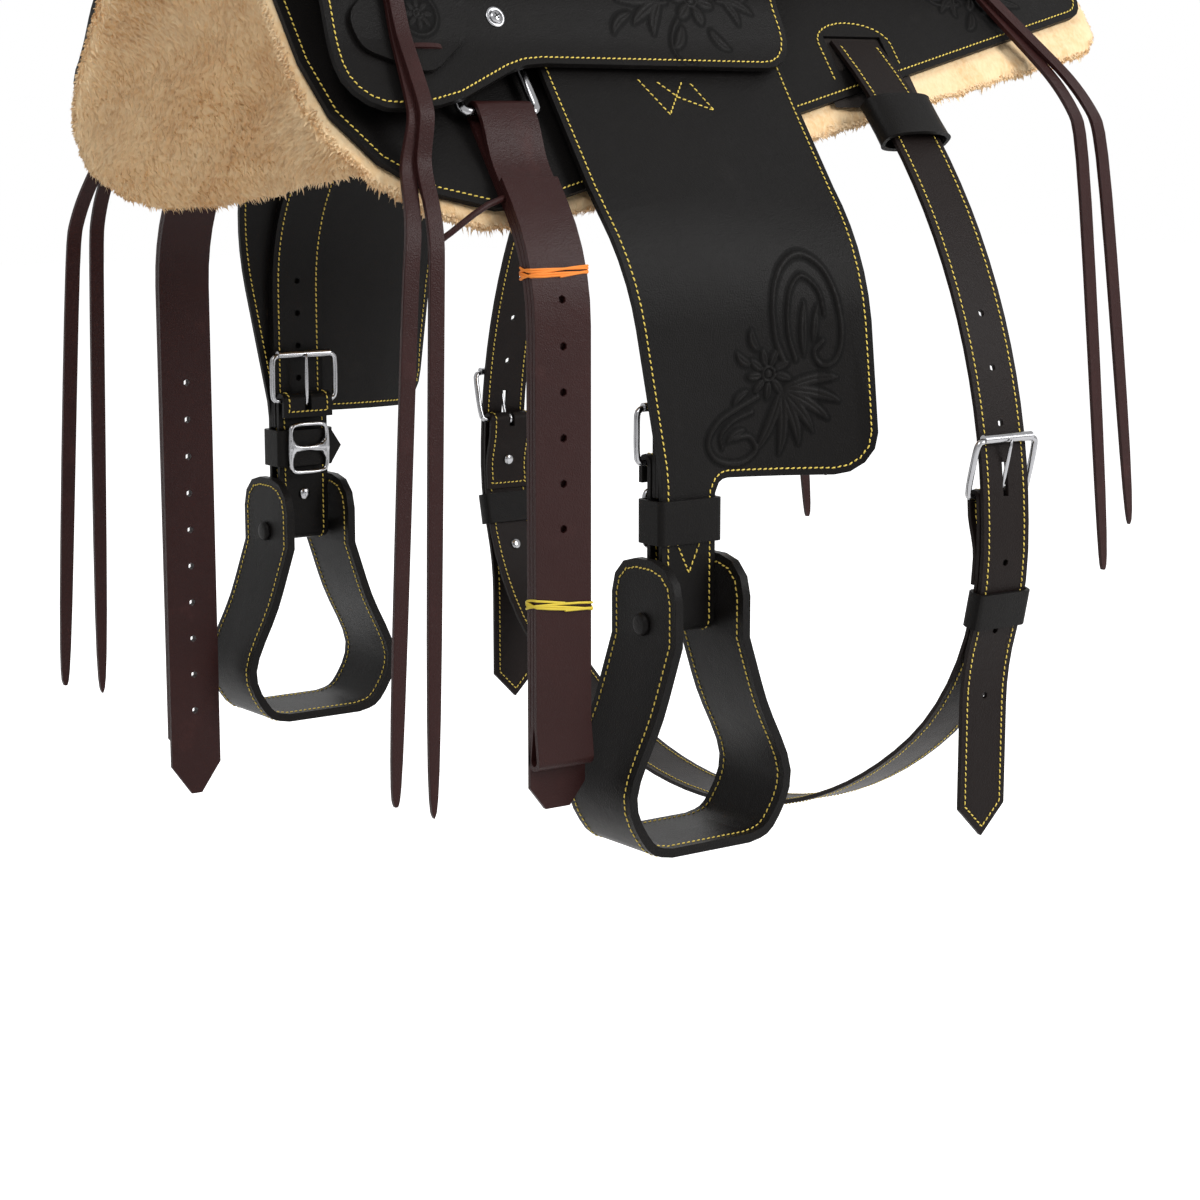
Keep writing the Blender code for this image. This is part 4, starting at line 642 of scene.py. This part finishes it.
seatLook = {"voxel": 4.2 * mm, "puff": 1.6 * mm, "channel": 1.5 * mm, "border": 16 * mm, "diamond": 34 * mm,
            "half": 95 * mm, "widens": 20 * mm, "widensFrom": 120 * mm, "rearMargin": 12 * mm,
            "groove": 2.4 * mm, "quiltStart": 4 * mm}


def makeSeat():
    bm = remade("seat", seatLook["voxel"])
    low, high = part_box("seat")
    for vert in bm.verts:
        if vert.normal.z < 0.15:
            continue
        p = vert.co
        rearwards = (p.y - seatLook["widensFrom"]) / seatLook["widensFrom"]
        half = seatLook["half"] + seatLook["widens"] * min(1.0, max(0.0, rearwards))
        across = abs(p.x) / half
        ends = min(p.y - low.y, high.y - seatLook["rearMargin"] - p.y)
        rim = min((1.0 - across) * half, ends)
        a = (p.x + p.y * 0.55) / seatLook["diamond"]
        b = (p.x - p.y * 0.55) / seatLook["diamond"]
        cell = min(abs(a - round(a)), abs(b - round(b)))
        quilt = 1.0 - math.exp(-(cell / 0.11) ** 2)
        border = 1.0 - math.exp(-((rim - seatLook["border"]) / seatLook["groove"]) ** 2)
        inside = min(1.0, max(0.0, (rim - seatLook["border"]) / seatLook["quiltStart"]))
        lift = seatLook["puff"] * (0.3 + 0.7 * inside * quilt) - seatLook["channel"] * (1.0 - border)
        vert.co += vert.normal * (lift - seatLook["puff"] * 0.3)
    mesh = smoothed(meshOf("seat_padding", bm), 60)
    seat = addPiece("seat_padding", mesh, bodyOf["seat"], looks["suede"])
    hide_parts("seat")


fleeceLook = {"voxel": 5.5 * mm, "waves": 1.5 * mm, "width": 0.70 * mm, "bare": 0.8, "rimEdge": -0.6,
              "under": {"spacing": 2.6 * mm, "length": 6.5 * mm, "scatter": 0.35, "upright": 0.38,
                        "root": 0.1},
              "rim": {"spacing": 1.25 * mm, "length": 2.7 * mm, "scatter": 0.42, "upright": 0.75,
                      "root": 0.5}}


def makeFleece(word, side):
    node = f"fleece_{word}"
    bm = remade(node, fleeceLook["voxel"])
    slope = Vector((side * math.sin(back["slope"]), 0.0, math.cos(back["slope"])))
    for vert in bm.verts:
        p = vert.co
        wave = noise.noise(p * 70) + 0.6 * noise.noise(p * 190)
        top = max(0.0, vert.normal.dot(slope))
        vert.co += vert.normal * fleeceLook["waves"] * (wave * (1.0 - top) - 0.55 - 0.4 * top)
    bm.normal_update()
    bmesh.ops.triangulate(bm, faces=bm.faces)
    verts = [v.co.copy() for v in bm.verts]
    faces = [tuple(v.index for v in f.verts) for f in bm.faces]
    tips = [0.0] * len(verts)
    for face in list(bm.faces):
        top = face.normal.dot(slope)
        if top > fleeceLook["bare"]:
            continue
        tuft = fleeceLook["rim" if top > fleeceLook["rimEdge"] else "under"]
        for _ in range(int(face.calc_area() / tuft["spacing"] ** 2 + rng.random())):
            a, b = sorted((rng.random(), rng.random()))
            p, q, r = (v.co for v in face.verts)
            root = p * a + q * (b - a) + r * (1.0 - b)
            lean = Vector((noise.noise(root * 16), 1.6 * noise.noise(root * 16 + Vector((9, 0, 0))), -0.25))
            lean += Vector([rng.uniform(-1, 1) for _ in range(3)]) * tuft["scatter"]
            way = (face.normal * tuft["upright"] + lean * 0.75).normalized()
            if way.dot(slope) > 0.3:
                way -= slope * (way.dot(slope) - 0.1)
            length = tuft["length"] * rng.uniform(0.5, 1.1)
            across = way.cross(face.normal + Vector((0.01, 0.02, 0.03))).normalized()
            across *= fleeceLook["width"] * rng.uniform(0.6, 1.3)
            bend = (face.normal * tuft["root"] + Vector((0, 0, -0.6)) + lean * 0.4).normalized()
            mid = root + way * length * 0.5
            tip = mid + (way * 0.4 + bend * 0.6).normalized() * length * 0.5
            base = len(verts)
            verts += [root - across - way * mm, root + across - way * mm, mid + across * 0.8,
                      mid - across * 0.8, tip]
            tips += [0.0, 0.0, 0.5, 0.5, 1.0]
            faces += [(base, base + 1, base + 2, base + 3), (base + 3, base + 2, base + 4)]
    bm.free()
    mesh = smoothed(meshFrom(f"fleece_{word}_pile", verts, faces))
    mesh.attributes.new("tip", "FLOAT", "POINT").data.foreach_set("value", tips)
    piece = addPiece(mesh.name, mesh, bodyOf[node], looks["wool"])
    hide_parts(node)
    print(node, len(mesh.polygons), "faces")


makeSeat()
for word, side in sides.items():
    makeFleece(word, side)
print("seat and fleece made")


# flower carving, raised on the hide in a fine net

carving = {"step": 0.75, "height": 1.45, "ground": 0.10, "margin": 3.4, "fade": 1.6, "sunk": 0.12,
           "stipple": 0.16, "vein": 0.55, "reach": 9.0, "thinnest": 0.35}


def pointing(angle):
    return Vector((math.cos(angle), math.sin(angle)))


def stroke(points, widths, height, vein=False):
    return {"points": points, "widths": widths, "height": height, "vein": vein}


def ringStroke(centre, radius, width, count, height):
    points = [Vector(centre) + pointing(math.tau * k / count) * radius for k in range(count + 1)]
    return stroke(points, [width] * (count + 1), height)


def leaf(start, heading, length, width, curl):
    points, widths = [Vector(start)], [0.15]
    steps = 9
    for k in range(steps):
        t = (k + 1) / steps
        angle = heading + curl * t * t
        points.append(points[-1] + pointing(angle) * length / steps)
        widths.append(width * math.sin(math.pi * min(1.0, t * 0.94 + 0.03)) ** 0.7)
    return stroke(points, widths, 1.0, vein=True)


def scroll(start, heading, length, width, curl):
    points, widths = [Vector(start)], [width]
    steps = 16
    for k in range(steps):
        t = (k + 1) / steps
        heading += curl * (0.35 + 1.9 * t * t) / steps
        points.append(points[-1] + pointing(heading) * length / steps)
        widths.append(width * (1.0 - 0.55 * t))
    return stroke(points, widths, 0.8)


def flower(centre, size, petals=6, turn=0.0):
    shapes = []
    for k in range(petals):
        a = turn + math.tau * k / petals
        root = Vector(centre) + pointing(a) * size * 0.32
        shapes.append(leaf(root, a, size * 0.64, size * 1.45 / petals, 0.2))
    shapes.append(ringStroke(centre, size * 0.27, size * 0.05, 12, 1.1))
    heart = [Vector(centre), Vector(centre) + Vector((0.1, 0))]
    shapes.append(stroke(heart, [size * 0.17] * 2, 1.25))
    return shapes


def spray(centre, heading, size, count=5, spread=1.9):
    shapes = []
    for k in range(count):
        share = k / (count - 1) - 0.5
        a = heading + spread * share
        shapes.append(leaf(Vector(centre), a, size * (1.0 - 0.45 * abs(share)), size * 0.11, share * 1.2))
    return shapes


def carve(name, node, line, side, shapes, body, depth=1.0):
    every = numpy.array([tuple(p) for s in shapes for p in s["points"]])
    low, high = every.min(0) - carving["reach"], every.max(0) + carving["reach"]
    step = carving["step"]
    ys, ss = numpy.arange(low[0], high[0], step), numpy.arange(low[1], high[1], step)
    gridY, gridS = numpy.meshgrid(ys, ss, indexing="ij")
    height = numpy.zeros(gridY.shape)
    away = numpy.full(gridY.shape, 99.0)
    for shape in shapes:
        pts, wid = shape["points"], shape["widths"]
        best = numpy.full(gridY.shape, carving["reach"])
        centre = numpy.full(gridY.shape, carving["reach"])
        for (a, b), (wa, wb) in zip(zip(pts, pts[1:]), zip(wid, wid[1:])):
            run = b - a
            along = ((gridY - a.x) * run.x + (gridS - a.y) * run.y) / max(run.length_squared, 1e-9)
            along = numpy.clip(along, 0.0, 1.0)
            gap = numpy.hypot(gridY - a.x - run.x * along, gridS - a.y - run.y * along)
            width = wa + (wb - wa) * along
            best = numpy.minimum(best, gap / numpy.maximum(width, carving["thinnest"]))
            centre = numpy.minimum(centre, gap)
            away = numpy.minimum(away, gap - width)
        dome = numpy.sqrt(numpy.clip(1.0 - best ** 2, 0.0, 1.0)) ** 0.8
        if shape["vein"]:
            dome = dome * (1.0 - 0.55 * numpy.exp(-(centre / carving["vein"]) ** 2))
        height = numpy.maximum(height, dome * shape["height"])
    stipple = numpy.sin(gridY * 5.1 + gridS * 1.3) * numpy.sin(gridS * 4.7 - gridY * 0.9)
    ground = numpy.where(away > 0.0, carving["stipple"] * stipple, 0.0)
    fade = numpy.clip((carving["margin"] - away) / carving["fade"], 0.0, 1.0)
    lift = carving["ground"] + carving["height"] * depth * height + 0.12 * ground
    lift = lift * fade - carving["sunk"] * (1.0 - fade)
    # painted shade: the ground between and round the raised figures gets a low value (about 0.12), which
    # the carved leather turns into darker colour; raised tops and the faded outer margin keep the value 1
    # and the plain tone
    shade = numpy.minimum(1.0, height * 0.8 + (1.0 - fade) + 0.12 + 0.2 * ground)
    tree = hides[node]
    index, verts, paintedRecessShade = {}, [], []
    for i in range(len(ys)):
        for j in range(len(ss)):
            if away[i, j] > carving["margin"]:
                continue
            hit = onHide(tree, line, ys[i], ss[j], side)
            if hit is None:
                continue
            index[i, j] = len(verts)
            verts.append(hit[0] + hit[1] * float(lift[i, j]) * mm)
            paintedRecessShade.append(float(shade[i, j]))
    faces = []
    for i, j in index:
        square = [(i, j), (i + 1, j), (i + 1, j + 1), (i, j + 1)]
        if all(k in index for k in square):
            corners = [index[k] for k in square]
            if max((verts[corners[0]] - verts[c]).length for c in corners) < 0.003:
                faces.append(corners if side < 0 else corners[::-1])
    mesh = smoothed(meshFrom(name, verts, faces))
    # the painted shade is stored in the carve attribute that the carved leather material reads
    mesh.attributes.new("carve", "FLOAT", "POINT").data.foreach_set("value", paintedRecessShade)
    addPiece(name, mesh, body, looks["carved"])


def ribbon(path, width, taper=0.5):
    knots = [Vector(p) for p in path]
    knots = [knots[0]] + knots + [knots[-1]]
    points = []
    for a, b, c, d in zip(knots, knots[1:], knots[2:], knots[3:]):
        for k in range(5):
            u = k / 5
            points.append(0.5 * (2 * b + (c - a) * u + (2 * a - 5 * b + 4 * c - d) * u ** 2
                                 + (3 * b - a - 3 * c + d) * u ** 3))
    points.append(knots[-1])
    widths = [width * (1.0 - taper * k / len(points)) for k in range(len(points))]
    return stroke(points, widths, 0.9)


def leaves(*rows):
    return [leaf(*row) for row in rows]


def fenderFlowers():
    shapes = flower((41, 400), 16, 9, 0.2)
    hook = [(52, 393), (46, 377), (45, 358), (53, 343), (68, 336), (83, 343), (91, 360), (92, 380),
            (87, 393), (78, 396), (73, 388), (79, 381)]
    innerHook = [(60, 392), (55, 374), (57, 356), (67, 347), (78, 354), (81, 366)]
    curl = [(33, 414), (19, 420), (4, 428), (-4, 440), (3, 451), (20, 454), (32, 447), (27, 438), (16, 439)]
    innerCurl = [(29, 423), (15, 428), (6, 436), (7, 444)]
    shapes += [ribbon(hook, 1.7, 0.3), ribbon(innerHook, 1.2),
               ribbon(curl, 1.7, 0.3), ribbon(innerCurl, 1.2)]
    shapes += leaves(((66, 390), -1.62, 30, 2.7, 0.25), ((73, 382), -1.5, 20, 2.2, 0.3),
                     ((24, 434), 2.9, 15, 2.2, -0.6))
    fan = ((-0.30, 38), (0.08, 39), (0.42, 36), (0.78, 34), (1.12, 36), (1.48, 40), (1.88, 40))
    shapes += [leaf((50, 410), heading, length, 3.5, 0.35) for heading, length in fan]
    shapes += leaves(((34, 386), -2.3, 15, 2.8, 0.9), ((28, 394), -2.8, 13, 2.6, 0.8),
                     ((26, 410), 2.7, 14, 2.4, -0.6))
    return shapes


def shifted(shapes, dy, ds):
    return [dict(shape, points=[p + Vector((dy, ds)) for p in shape["points"]]) for shape in shapes]


def jockeyFlowers():
    shapes = flower((58, 150), 17, 6, 0.2)
    shapes += [scroll((38, 152), 2.9, 62, 1.3, 2.9), scroll((80, 150), 0.3, 50, 1.2, -3.2),
               scroll((44, 164), 2.4, 44, 1.2, -2.8)]
    shapes += spray((34, 150), 3.1, 34, 5, 1.7) + spray((82, 146), -0.1, 30, 5, 1.9)
    shapes += leaves(((46, 168), 1.9, 18, 3.6, 0.7), ((68, 170), 1.1, 18, 3.6, -0.7),
                     ((12, 146), 3.4, 26, 3.2, 0.8), ((8, 160), 2.8, 22, 3.0, -0.9),
                     ((52, 132), -2.0, 16, 3.2, 0.7), ((70, 132), -1.0, 16, 3.2, -0.7))
    return shifted(shapes, -6, 16)


def cornerFlowers():
    shapes = flower((352, 118), 15, 6, 0.0)
    shapes += [scroll((368, 112), -0.2, 40, 1.2, -3.0), scroll((336, 126), 2.8, 46, 1.2, 2.8)]
    shapes += spray((370, 122), 0.2, 24, 5, 1.8) + spray((334, 118), 3.0, 26, 5, 1.8)
    shapes += leaves(((344, 134), 1.9, 17, 3.2, 0.7), ((360, 133), 1.0, 17, 3.2, -0.7))
    return shifted(shapes, -20, 16)


def rosette():
    return shifted(flower((0, 0), 10, 8, 0.0) + [ringStroke((0, 0), 13, 0.8, 24, 0.8)], -157, 182)


for word, side in sides.items():
    fender = f"fender_{word}"
    carve(f"fender_carving_{word}", fender, fenderLine, side, fenderFlowers(), bodyOf[fender])
    carve(f"jockey_carving_{word}", f"jockey_{word}", slopeLine, side, jockeyFlowers(), "saddle", 0.6)
    carve(f"skirt_carving_{word}", f"skirt_{word}", slopeLine, side, cornerFlowers(), "saddle", 0.6)
    carve(f"plate_rosette_{word}", f"concho_plate_{word}", slopeLine, side, rosette(), "saddle", 0.6)
print("carving done")


# seams that don't follow an edge

def seamOn(node, line, side, path, body):
    points, normals = [], []
    for a, b in zip(path, path[1:]):
        steps = max(1, int(math.dist(a, b) / 1.5))
        for k in range(steps):
            at = Vector(a).lerp(Vector(b), k / steps)
            hit = onHide(hides[node], line, at.x, at.y, side)
            if hit:
                points.append(hit[0])
                normals.append(hit[1])
    seam(points, normals, stitched.setdefault(body, []))


# the letter-like figures on the fender, and the arch round the slot in the skirt
figures = ([(-2, 216), (12, 243), (32, 218)], [(12, 218), (24, 230), (48, 240), (37, 217)],
           [(-33, 488), (-18, 519), (-4, 488)])
crown = [(203 - 32 * math.cos(a), 178 - 17 * math.sin(a)) for a in [math.pi * k / 12 for k in range(13)]]
arch = [(171, 208), (171, 186)] + crown + [(235, 186), (235, 196)]
for word, side in sides.items():
    for figure in figures:
        seamOn(f"fender_{word}", fenderLine, side, figure, bodyOf[f"fender_{word}"])
    seamOn(f"skirt_{word}", slopeLine, side, arch, "saddle")
# no row crosses the flank strap's upper ends
stitched["flank_strap"] = [(spot, along, normal) for spot, along, normal in stitched["flank_strap"]
                           if abs(along.y) < 0.7 or spot.z < -0.16]
for body, rows in stitched.items():
    addPiece(f"{body}_stitching", stitchMesh(f"{body}_stitching", rows), body, looks["yellow"])
    print(body, len(rows), "stitches")


# small things: ties, lace, rivets, rollers and the wide keeper

def tube(name, points, radius, look, body, closed=False, sides=4):
    curve = bpy.data.curves.new(name, "CURVE")
    curve.dimensions = "3D"
    curve.bevel_depth = radius
    curve.bevel_resolution = sides // 2
    curve.use_fill_caps = True
    spline = curve.splines.new("POLY")
    spline.points.add(len(points) - 1)
    for place, point in zip(spline.points, points):
        place.co = (*point, 1.0)
    spline.use_cyclic_u = closed
    thing = bpy.data.objects.new(name, curve)
    scene.collection.objects.link(thing)
    curve.materials.append(looks[look])
    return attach(thing, body)


tieLook = {"y": -111 * mm, "half": 21 * mm, "clear": 0.9 * mm, "radius": 0.75 * mm, "rise": 1.1 * mm,
           "wander": 1.4 * mm, "square": 1.35, "steps": 16}


def squared(value):
    return max(-1.0, min(1.0, tieLook["square"] * value))


def tie(name, z, look, turns, tilt):
    tree, y = hides["latigo"], tieLook["y"]
    front = tree.ray_cast(Vector((0.5, y, z)), Vector((-1, 0, 0)))[0].x
    behind = tree.ray_cast(Vector((0.0, y, z)), Vector((1, 0, 0)))[0].x
    centre = Vector(((front + behind) / 2, y, z))
    depth = (front - behind) / 2 + tieLook["clear"]
    points = []
    for k in range(turns * tieLook["steps"] + 1):
        a = math.tau * k / tieLook["steps"]
        across = squared(math.sin(a)) * tieLook["half"]
        rise = (k / tieLook["steps"] - turns / 2) * tieLook["rise"] + tilt * across
        rise += tieLook["wander"] * math.sin(a * 1.37)
        points.append(centre + Vector((squared(math.cos(a)) * depth, across, rise)))
    tube(name, points, tieLook["radius"], look, "latigo")


tie("orange_tie", -0.2465, "orange", 5, 0.05)
tie("yellow_tie", -0.444, "lime", 4, -0.10)


def slotBacking(word, side):
    probe = onHide(hides[f"skirt_{word}"], slopeLine, 155, 190, side)[0]
    x, z, slope = onLine(slopeLine, 190)
    out = Vector((side * math.sin(slope), 0.0, math.cos(slope)))
    depth = (probe - Vector((side * x, 0, z)) * mm).dot(out) - 2.6 * mm
    verts = []
    for s in (148, 228):
        x, z, _ = onLine(slopeLine, s)
        verts += [Vector((side * x * mm, y * mm, z * mm)) + out * depth for y in (164, 242)]
    mesh = meshFrom(f"slot_backing_{word}", verts, [(0, 1, 3, 2)])
    addPiece(mesh.name, mesh, "saddle", looks["dark flesh"])


keeperLook = {"half": 25 * mm, "height": 33 * mm, "skin": 2.8 * mm, "below": -7.5 * mm, "above": 3.6 * mm,
              "start": -148 * mm, "billet": 203 * mm, "bulge": 2.2 * mm,
              "flare": ((0.0, 0.6), (0.06, 0.2), (0.35, 0.0), (0.65, 0.0), (0.94, 0.3), (1.0, 0.8))}


def bowed(value, power):
    return math.copysign(abs(value) ** power, value)


def wideKeeper(word, side):
    billet = hides[f"flank_billet_{word}"]
    levels = [keeperLook["start"], keeperLook["start"] - keeperLook["height"]]
    top, low = [billet.ray_cast(Vector((0.5 * side, keeperLook["billet"], z)), Vector((-side, 0, 0)))[0]
                for z in levels]
    down = (low - top).normalized()
    out = Vector((-down.z * side, 0.0, down.x * side)) * side
    out = out if out.x * side > 0 else -out
    bm = bmesh.new()
    rings = []
    for share, flare in keeperLook["flare"]:
        for skin in (0.0, keeperLook["skin"]):
            grow = skin + flare * mm
            half, high = keeperLook["half"] + grow, keeperLook["above"] + grow
            deep = keeperLook["below"] - grow
            ring = []
            for a in circle(32):
                y = bowed(math.cos(a), 0.45) * half
                n = (high + deep) / 2 + bowed(math.sin(a), 0.7) * (high - deep) / 2
                if n > 0:
                    n += keeperLook["bulge"] * (1 - (y / half) ** 2)
                spot = top + down * keeperLook["height"] * share + out * n
                ring.append(bm.verts.new(spot + Vector((0, y, 0))))
            rings.append(ring)
    inner, outer = rings[0::2], rings[1::2]
    joinRings(bm, outer)
    joinRings(bm, inner[::-1])
    faces = len(bm.faces)
    joinRings(bm, [inner[0], outer[0]])
    joinRings(bm, [outer[-1], inner[-1]])
    for face in list(bm.faces)[faces:]:
        face.material_index = 1
    bmesh.ops.recalc_face_normals(bm, faces=bm.faces)
    mesh = smoothed(meshOf(f"skirt_keeper_{word}", bm), 50)
    addPiece(mesh.name, mesh, "flank_strap", looks["black"], looks["edge"])


for word, side in sides.items():
    slotBacking(word, side)
for word, side in sides.items():
    wideKeeper(word, side)


def standingOn(spot, normal):
    turn = normal.to_track_quat("Z", "Y").to_matrix().to_4x4()
    turn.translation = spot
    return turn


def turned(bm, turn, profile, scale, count):
    rings = [[bm.verts.new(turn @ (Vector((radius * math.cos(a), radius * math.sin(a), height)) * scale))
              for a in circle(count)] for radius, height in profile]
    joinRings(bm, rings)
    return rings


domeProfile = [(1.0, 0.0), (0.97, 0.25), (0.72, 0.42), (0.35, 0.50)]


def dome(name, spots, radius, body):
    bm = bmesh.new()
    for spot, normal in spots:
        turn = standingOn(spot, normal)
        rings = turned(bm, turn, domeProfile, radius, 20)
        top = bm.verts.new(turn @ Vector((0, 0, 0.52 * radius)))
        for k in range(20):
            bm.faces.new((rings[-1][k], rings[-1][(k + 1) % 20], top))
        bm.faces.new(list(reversed(rings[0])))
    addPiece(name, smoothed(meshOf(name, bm)), body, looks["chrome"])


def pierce(node, y, z, side):
    spots = []
    for start, way in ((0.6 * side, -side), (0.12 * side, side)):
        spot, normal, _, _ = hides[node].ray_cast(Vector((start, y * mm, z * mm)), Vector((way, 0, 0)), 0.6)
        if spot is not None:
            spots.append((spot, normal if normal.x * way < 0 else -normal))
    return spots


for word, side in sides.items():
    spots = pierce("flank_cinch", 203, -432, side) + pierce("flank_cinch", 203, -500, side)
    dome(f"cinch_rivets_{word}", spots, 4.4 * mm, "flank_strap")
    spots = pierce(f"fender_{word}", -18, -436, side)[1:]
    dome(f"fender_rivet_{word}", spots, 4.6 * mm, bodyOf[f"fender_{word}"])


def lacePlate(word, side):
    plate, verts, faces = hides[f"concho_plate_{word}"], [], []
    down = Vector((side * math.cos(back["slope"]), 0.0, -math.sin(back["slope"])))
    for k in range(11):
        hit = onHide(plate, slopeLine, -169 + 2.3 * k, 202.5, side)
        if hit:
            spot, normal = hit
            rise = 1.5 * math.sin(math.pi * k / 10) ** 0.5
            verts += [spot + down * a * mm + normal * b * mm for a, b in
                      ((-1.9, -0.3), (-1.5, rise), (1.5, rise), (1.9, -0.3))]
    for k in range(len(verts) // 4 - 1):
        faces += [(4 * k + a, 4 * k + a + 1, 4 * k + a + 5, 4 * k + a + 4) for a in range(3)]
    bm = bmesh.new()
    bm.from_mesh(meshFrom("draft", verts, faces))
    bmesh.ops.recalc_face_normals(bm, faces=bm.faces)
    mesh = smoothed(meshOf(f"plate_lace_{word}", bm), 50)
    addPiece(mesh.name, mesh, "saddle", looks["brown"])


screwProfiles = {"washer": (6.6 * mm, [(1.0, -0.5), (1.0, 0.5), (0.93, 0.9), (0.70, 0.9), (0.62, 0.4)]),
                 "head": (4.2 * mm, [(1.0, 0.0), (1.0, 0.8), (0.86, 1.7), (0.55, 2.3), (0.2, 2.45)])}
recess = {"half": 2.2, "width": 0.42, "from": 1.6, "to": 2.56, "turn": 0.5}
boxFaces = ((3, 2, 1, 0), (4, 5, 6, 7), (0, 1, 5, 4), (1, 2, 6, 5), (2, 3, 7, 6), (3, 0, 4, 7))


def jockeyScrew(word, side):
    turn = standingOn(*onHide(hides[f"jockey_{word}"], slopeLine, -99.9, 180.7, side))
    for name, (radius, profile) in screwProfiles.items():
        bm = bmesh.new()
        rings = turned(bm, turn, [(radius * r, height * mm) for r, height in profile], 1.0, 28)
        bm.faces.new(rings[-1])
        mesh = smoothed(meshOf(f"jockey_screw_{name}_{word}", bm), 50)
        addPiece(mesh.name, mesh, "saddle", looks["chrome"])
    # painted shade: the cross recess is a near-black box set into the top of the head and standing just
    # proud of it, in place of the shade in the hollow
    verts, faces = [], []
    for angle in (recess["turn"], recess["turn"] + math.pi / 2):
        way = pointing(angle).to_3d() * recess["half"]
        across = pointing(angle + math.pi / 2).to_3d() * recess["width"]
        base = len(verts)
        verts += [turn @ ((way * a + across * b + Vector((0, 0, height))) * mm)
                  for height in (recess["from"], recess["to"])
                  for a, b in ((-1, -1), (1, -1), (1, 1), (-1, 1))]
        faces += [tuple(base + k for k in quad) for quad in boxFaces]
    mesh = meshFrom(f"jockey_screw_recess_{word}", verts, faces)
    addPiece(mesh.name, mesh, "saddle", looks["dark"])


def roller(node, radius, length):
    corners = [v.co for v in nodes[node].data.vertices]
    top = max(v.z for v in corners)
    bar = [v for v in corners if v.z > top - 3.6 * mm]
    middle = [(min(v[i] for v in bar) + max(v[i] for v in bar)) / 2 for i in range(3)]
    ends = [Vector(middle) + Vector((0, length * share / 2, 0)) for share in (-1, 1)]
    tube(node + "_roller", ends, radius, "chrome", bodyOf[node], sides=12)


for word, side in sides.items():
    lacePlate(word, side)
    jockeyScrew(word, side)
    roller(f"flank_buckle_{word}", 3.1 * mm, 42 * mm)
    roller(f"leather_buckle_{word}", 2.9 * mm, 44 * mm)

# the lace that sticks out behind the latigo
lace = {"path": [(206, -123, -203), (212, -135, -205), (215, -146, -208), (216, -156, -213),
                 (216, -164, -218), (215, -171, -223), (213, -178, -228)],
        "radius": 1.9 * mm}
lacePoints = [Vector(p) * mm for p in lace["path"]]
thong = tube("latigo_lace", lacePoints, lace["radius"], "brown", "latigo", sides=8)
print("small things done")


# floor and white surroundings

white = (1.0, 1.0, 1.0)


def seenDirectly(shader):
    path = shader.add("ShaderNodeLightPath", {}, {}, "Is Camera Ray")
    glossy = Wire(shader, path.socket.node.outputs["Is Glossy Ray"])
    through = Wire(shader, path.socket.node.outputs["Is Transmission Ray"])
    return (path + glossy + through).clamped()


def setUpStudio():
    centre = (cadBox[0] + cadBox[1]) / 2
    softbox("key_light", (1.3, -1.5, 1.9), centre, (1.3, 1.3), light["key"])
    softbox("fill_light", (1.9, 1.35, 0.75), centre, (0.9, 1.4), light["fill"])
    softbox("back_light", (-1.8, 1.2, 1.2), centre, (1.6, 1.6), light["rim"])
    world = Shader("studio", "World")
    strength = seenDirectly(world) * (1.0 - light["world"]) + light["world"]
    surroundings = world.add("ShaderNodeBackground", {}, {"Color": white, "Strength": strength})
    scene.world = world.end(surroundings)
    z = cadBox[0].z - light["floorDrop"]
    corners = [(-9, -9, z), (9, -9, z), (9, 9, z), (-9, 9, z)]
    floorMesh = meshFrom("paper_floor", corners, [(0, 1, 2, 3)])
    floor = bpy.data.objects.new("paper_floor", floorMesh)
    scene.collection.objects.link(floor)
    shader = Shader("floor_paper")
    shade = shader.add("ShaderNodeBsdfDiffuse", {}, {"Color": (0.92, 0.92, 0.92)})
    glow = shader.add("ShaderNodeEmission", {},
                      {"Color": white, "Strength": seenDirectly(shader) * light["floorGlow"]})
    floorMesh.materials.append(shader.end(shader.add("ShaderNodeAddShader", {}, {0: shade, 1: glow})))


setUpStudio()
scene.view_settings.view_transform = "Standard"
print("studio set")
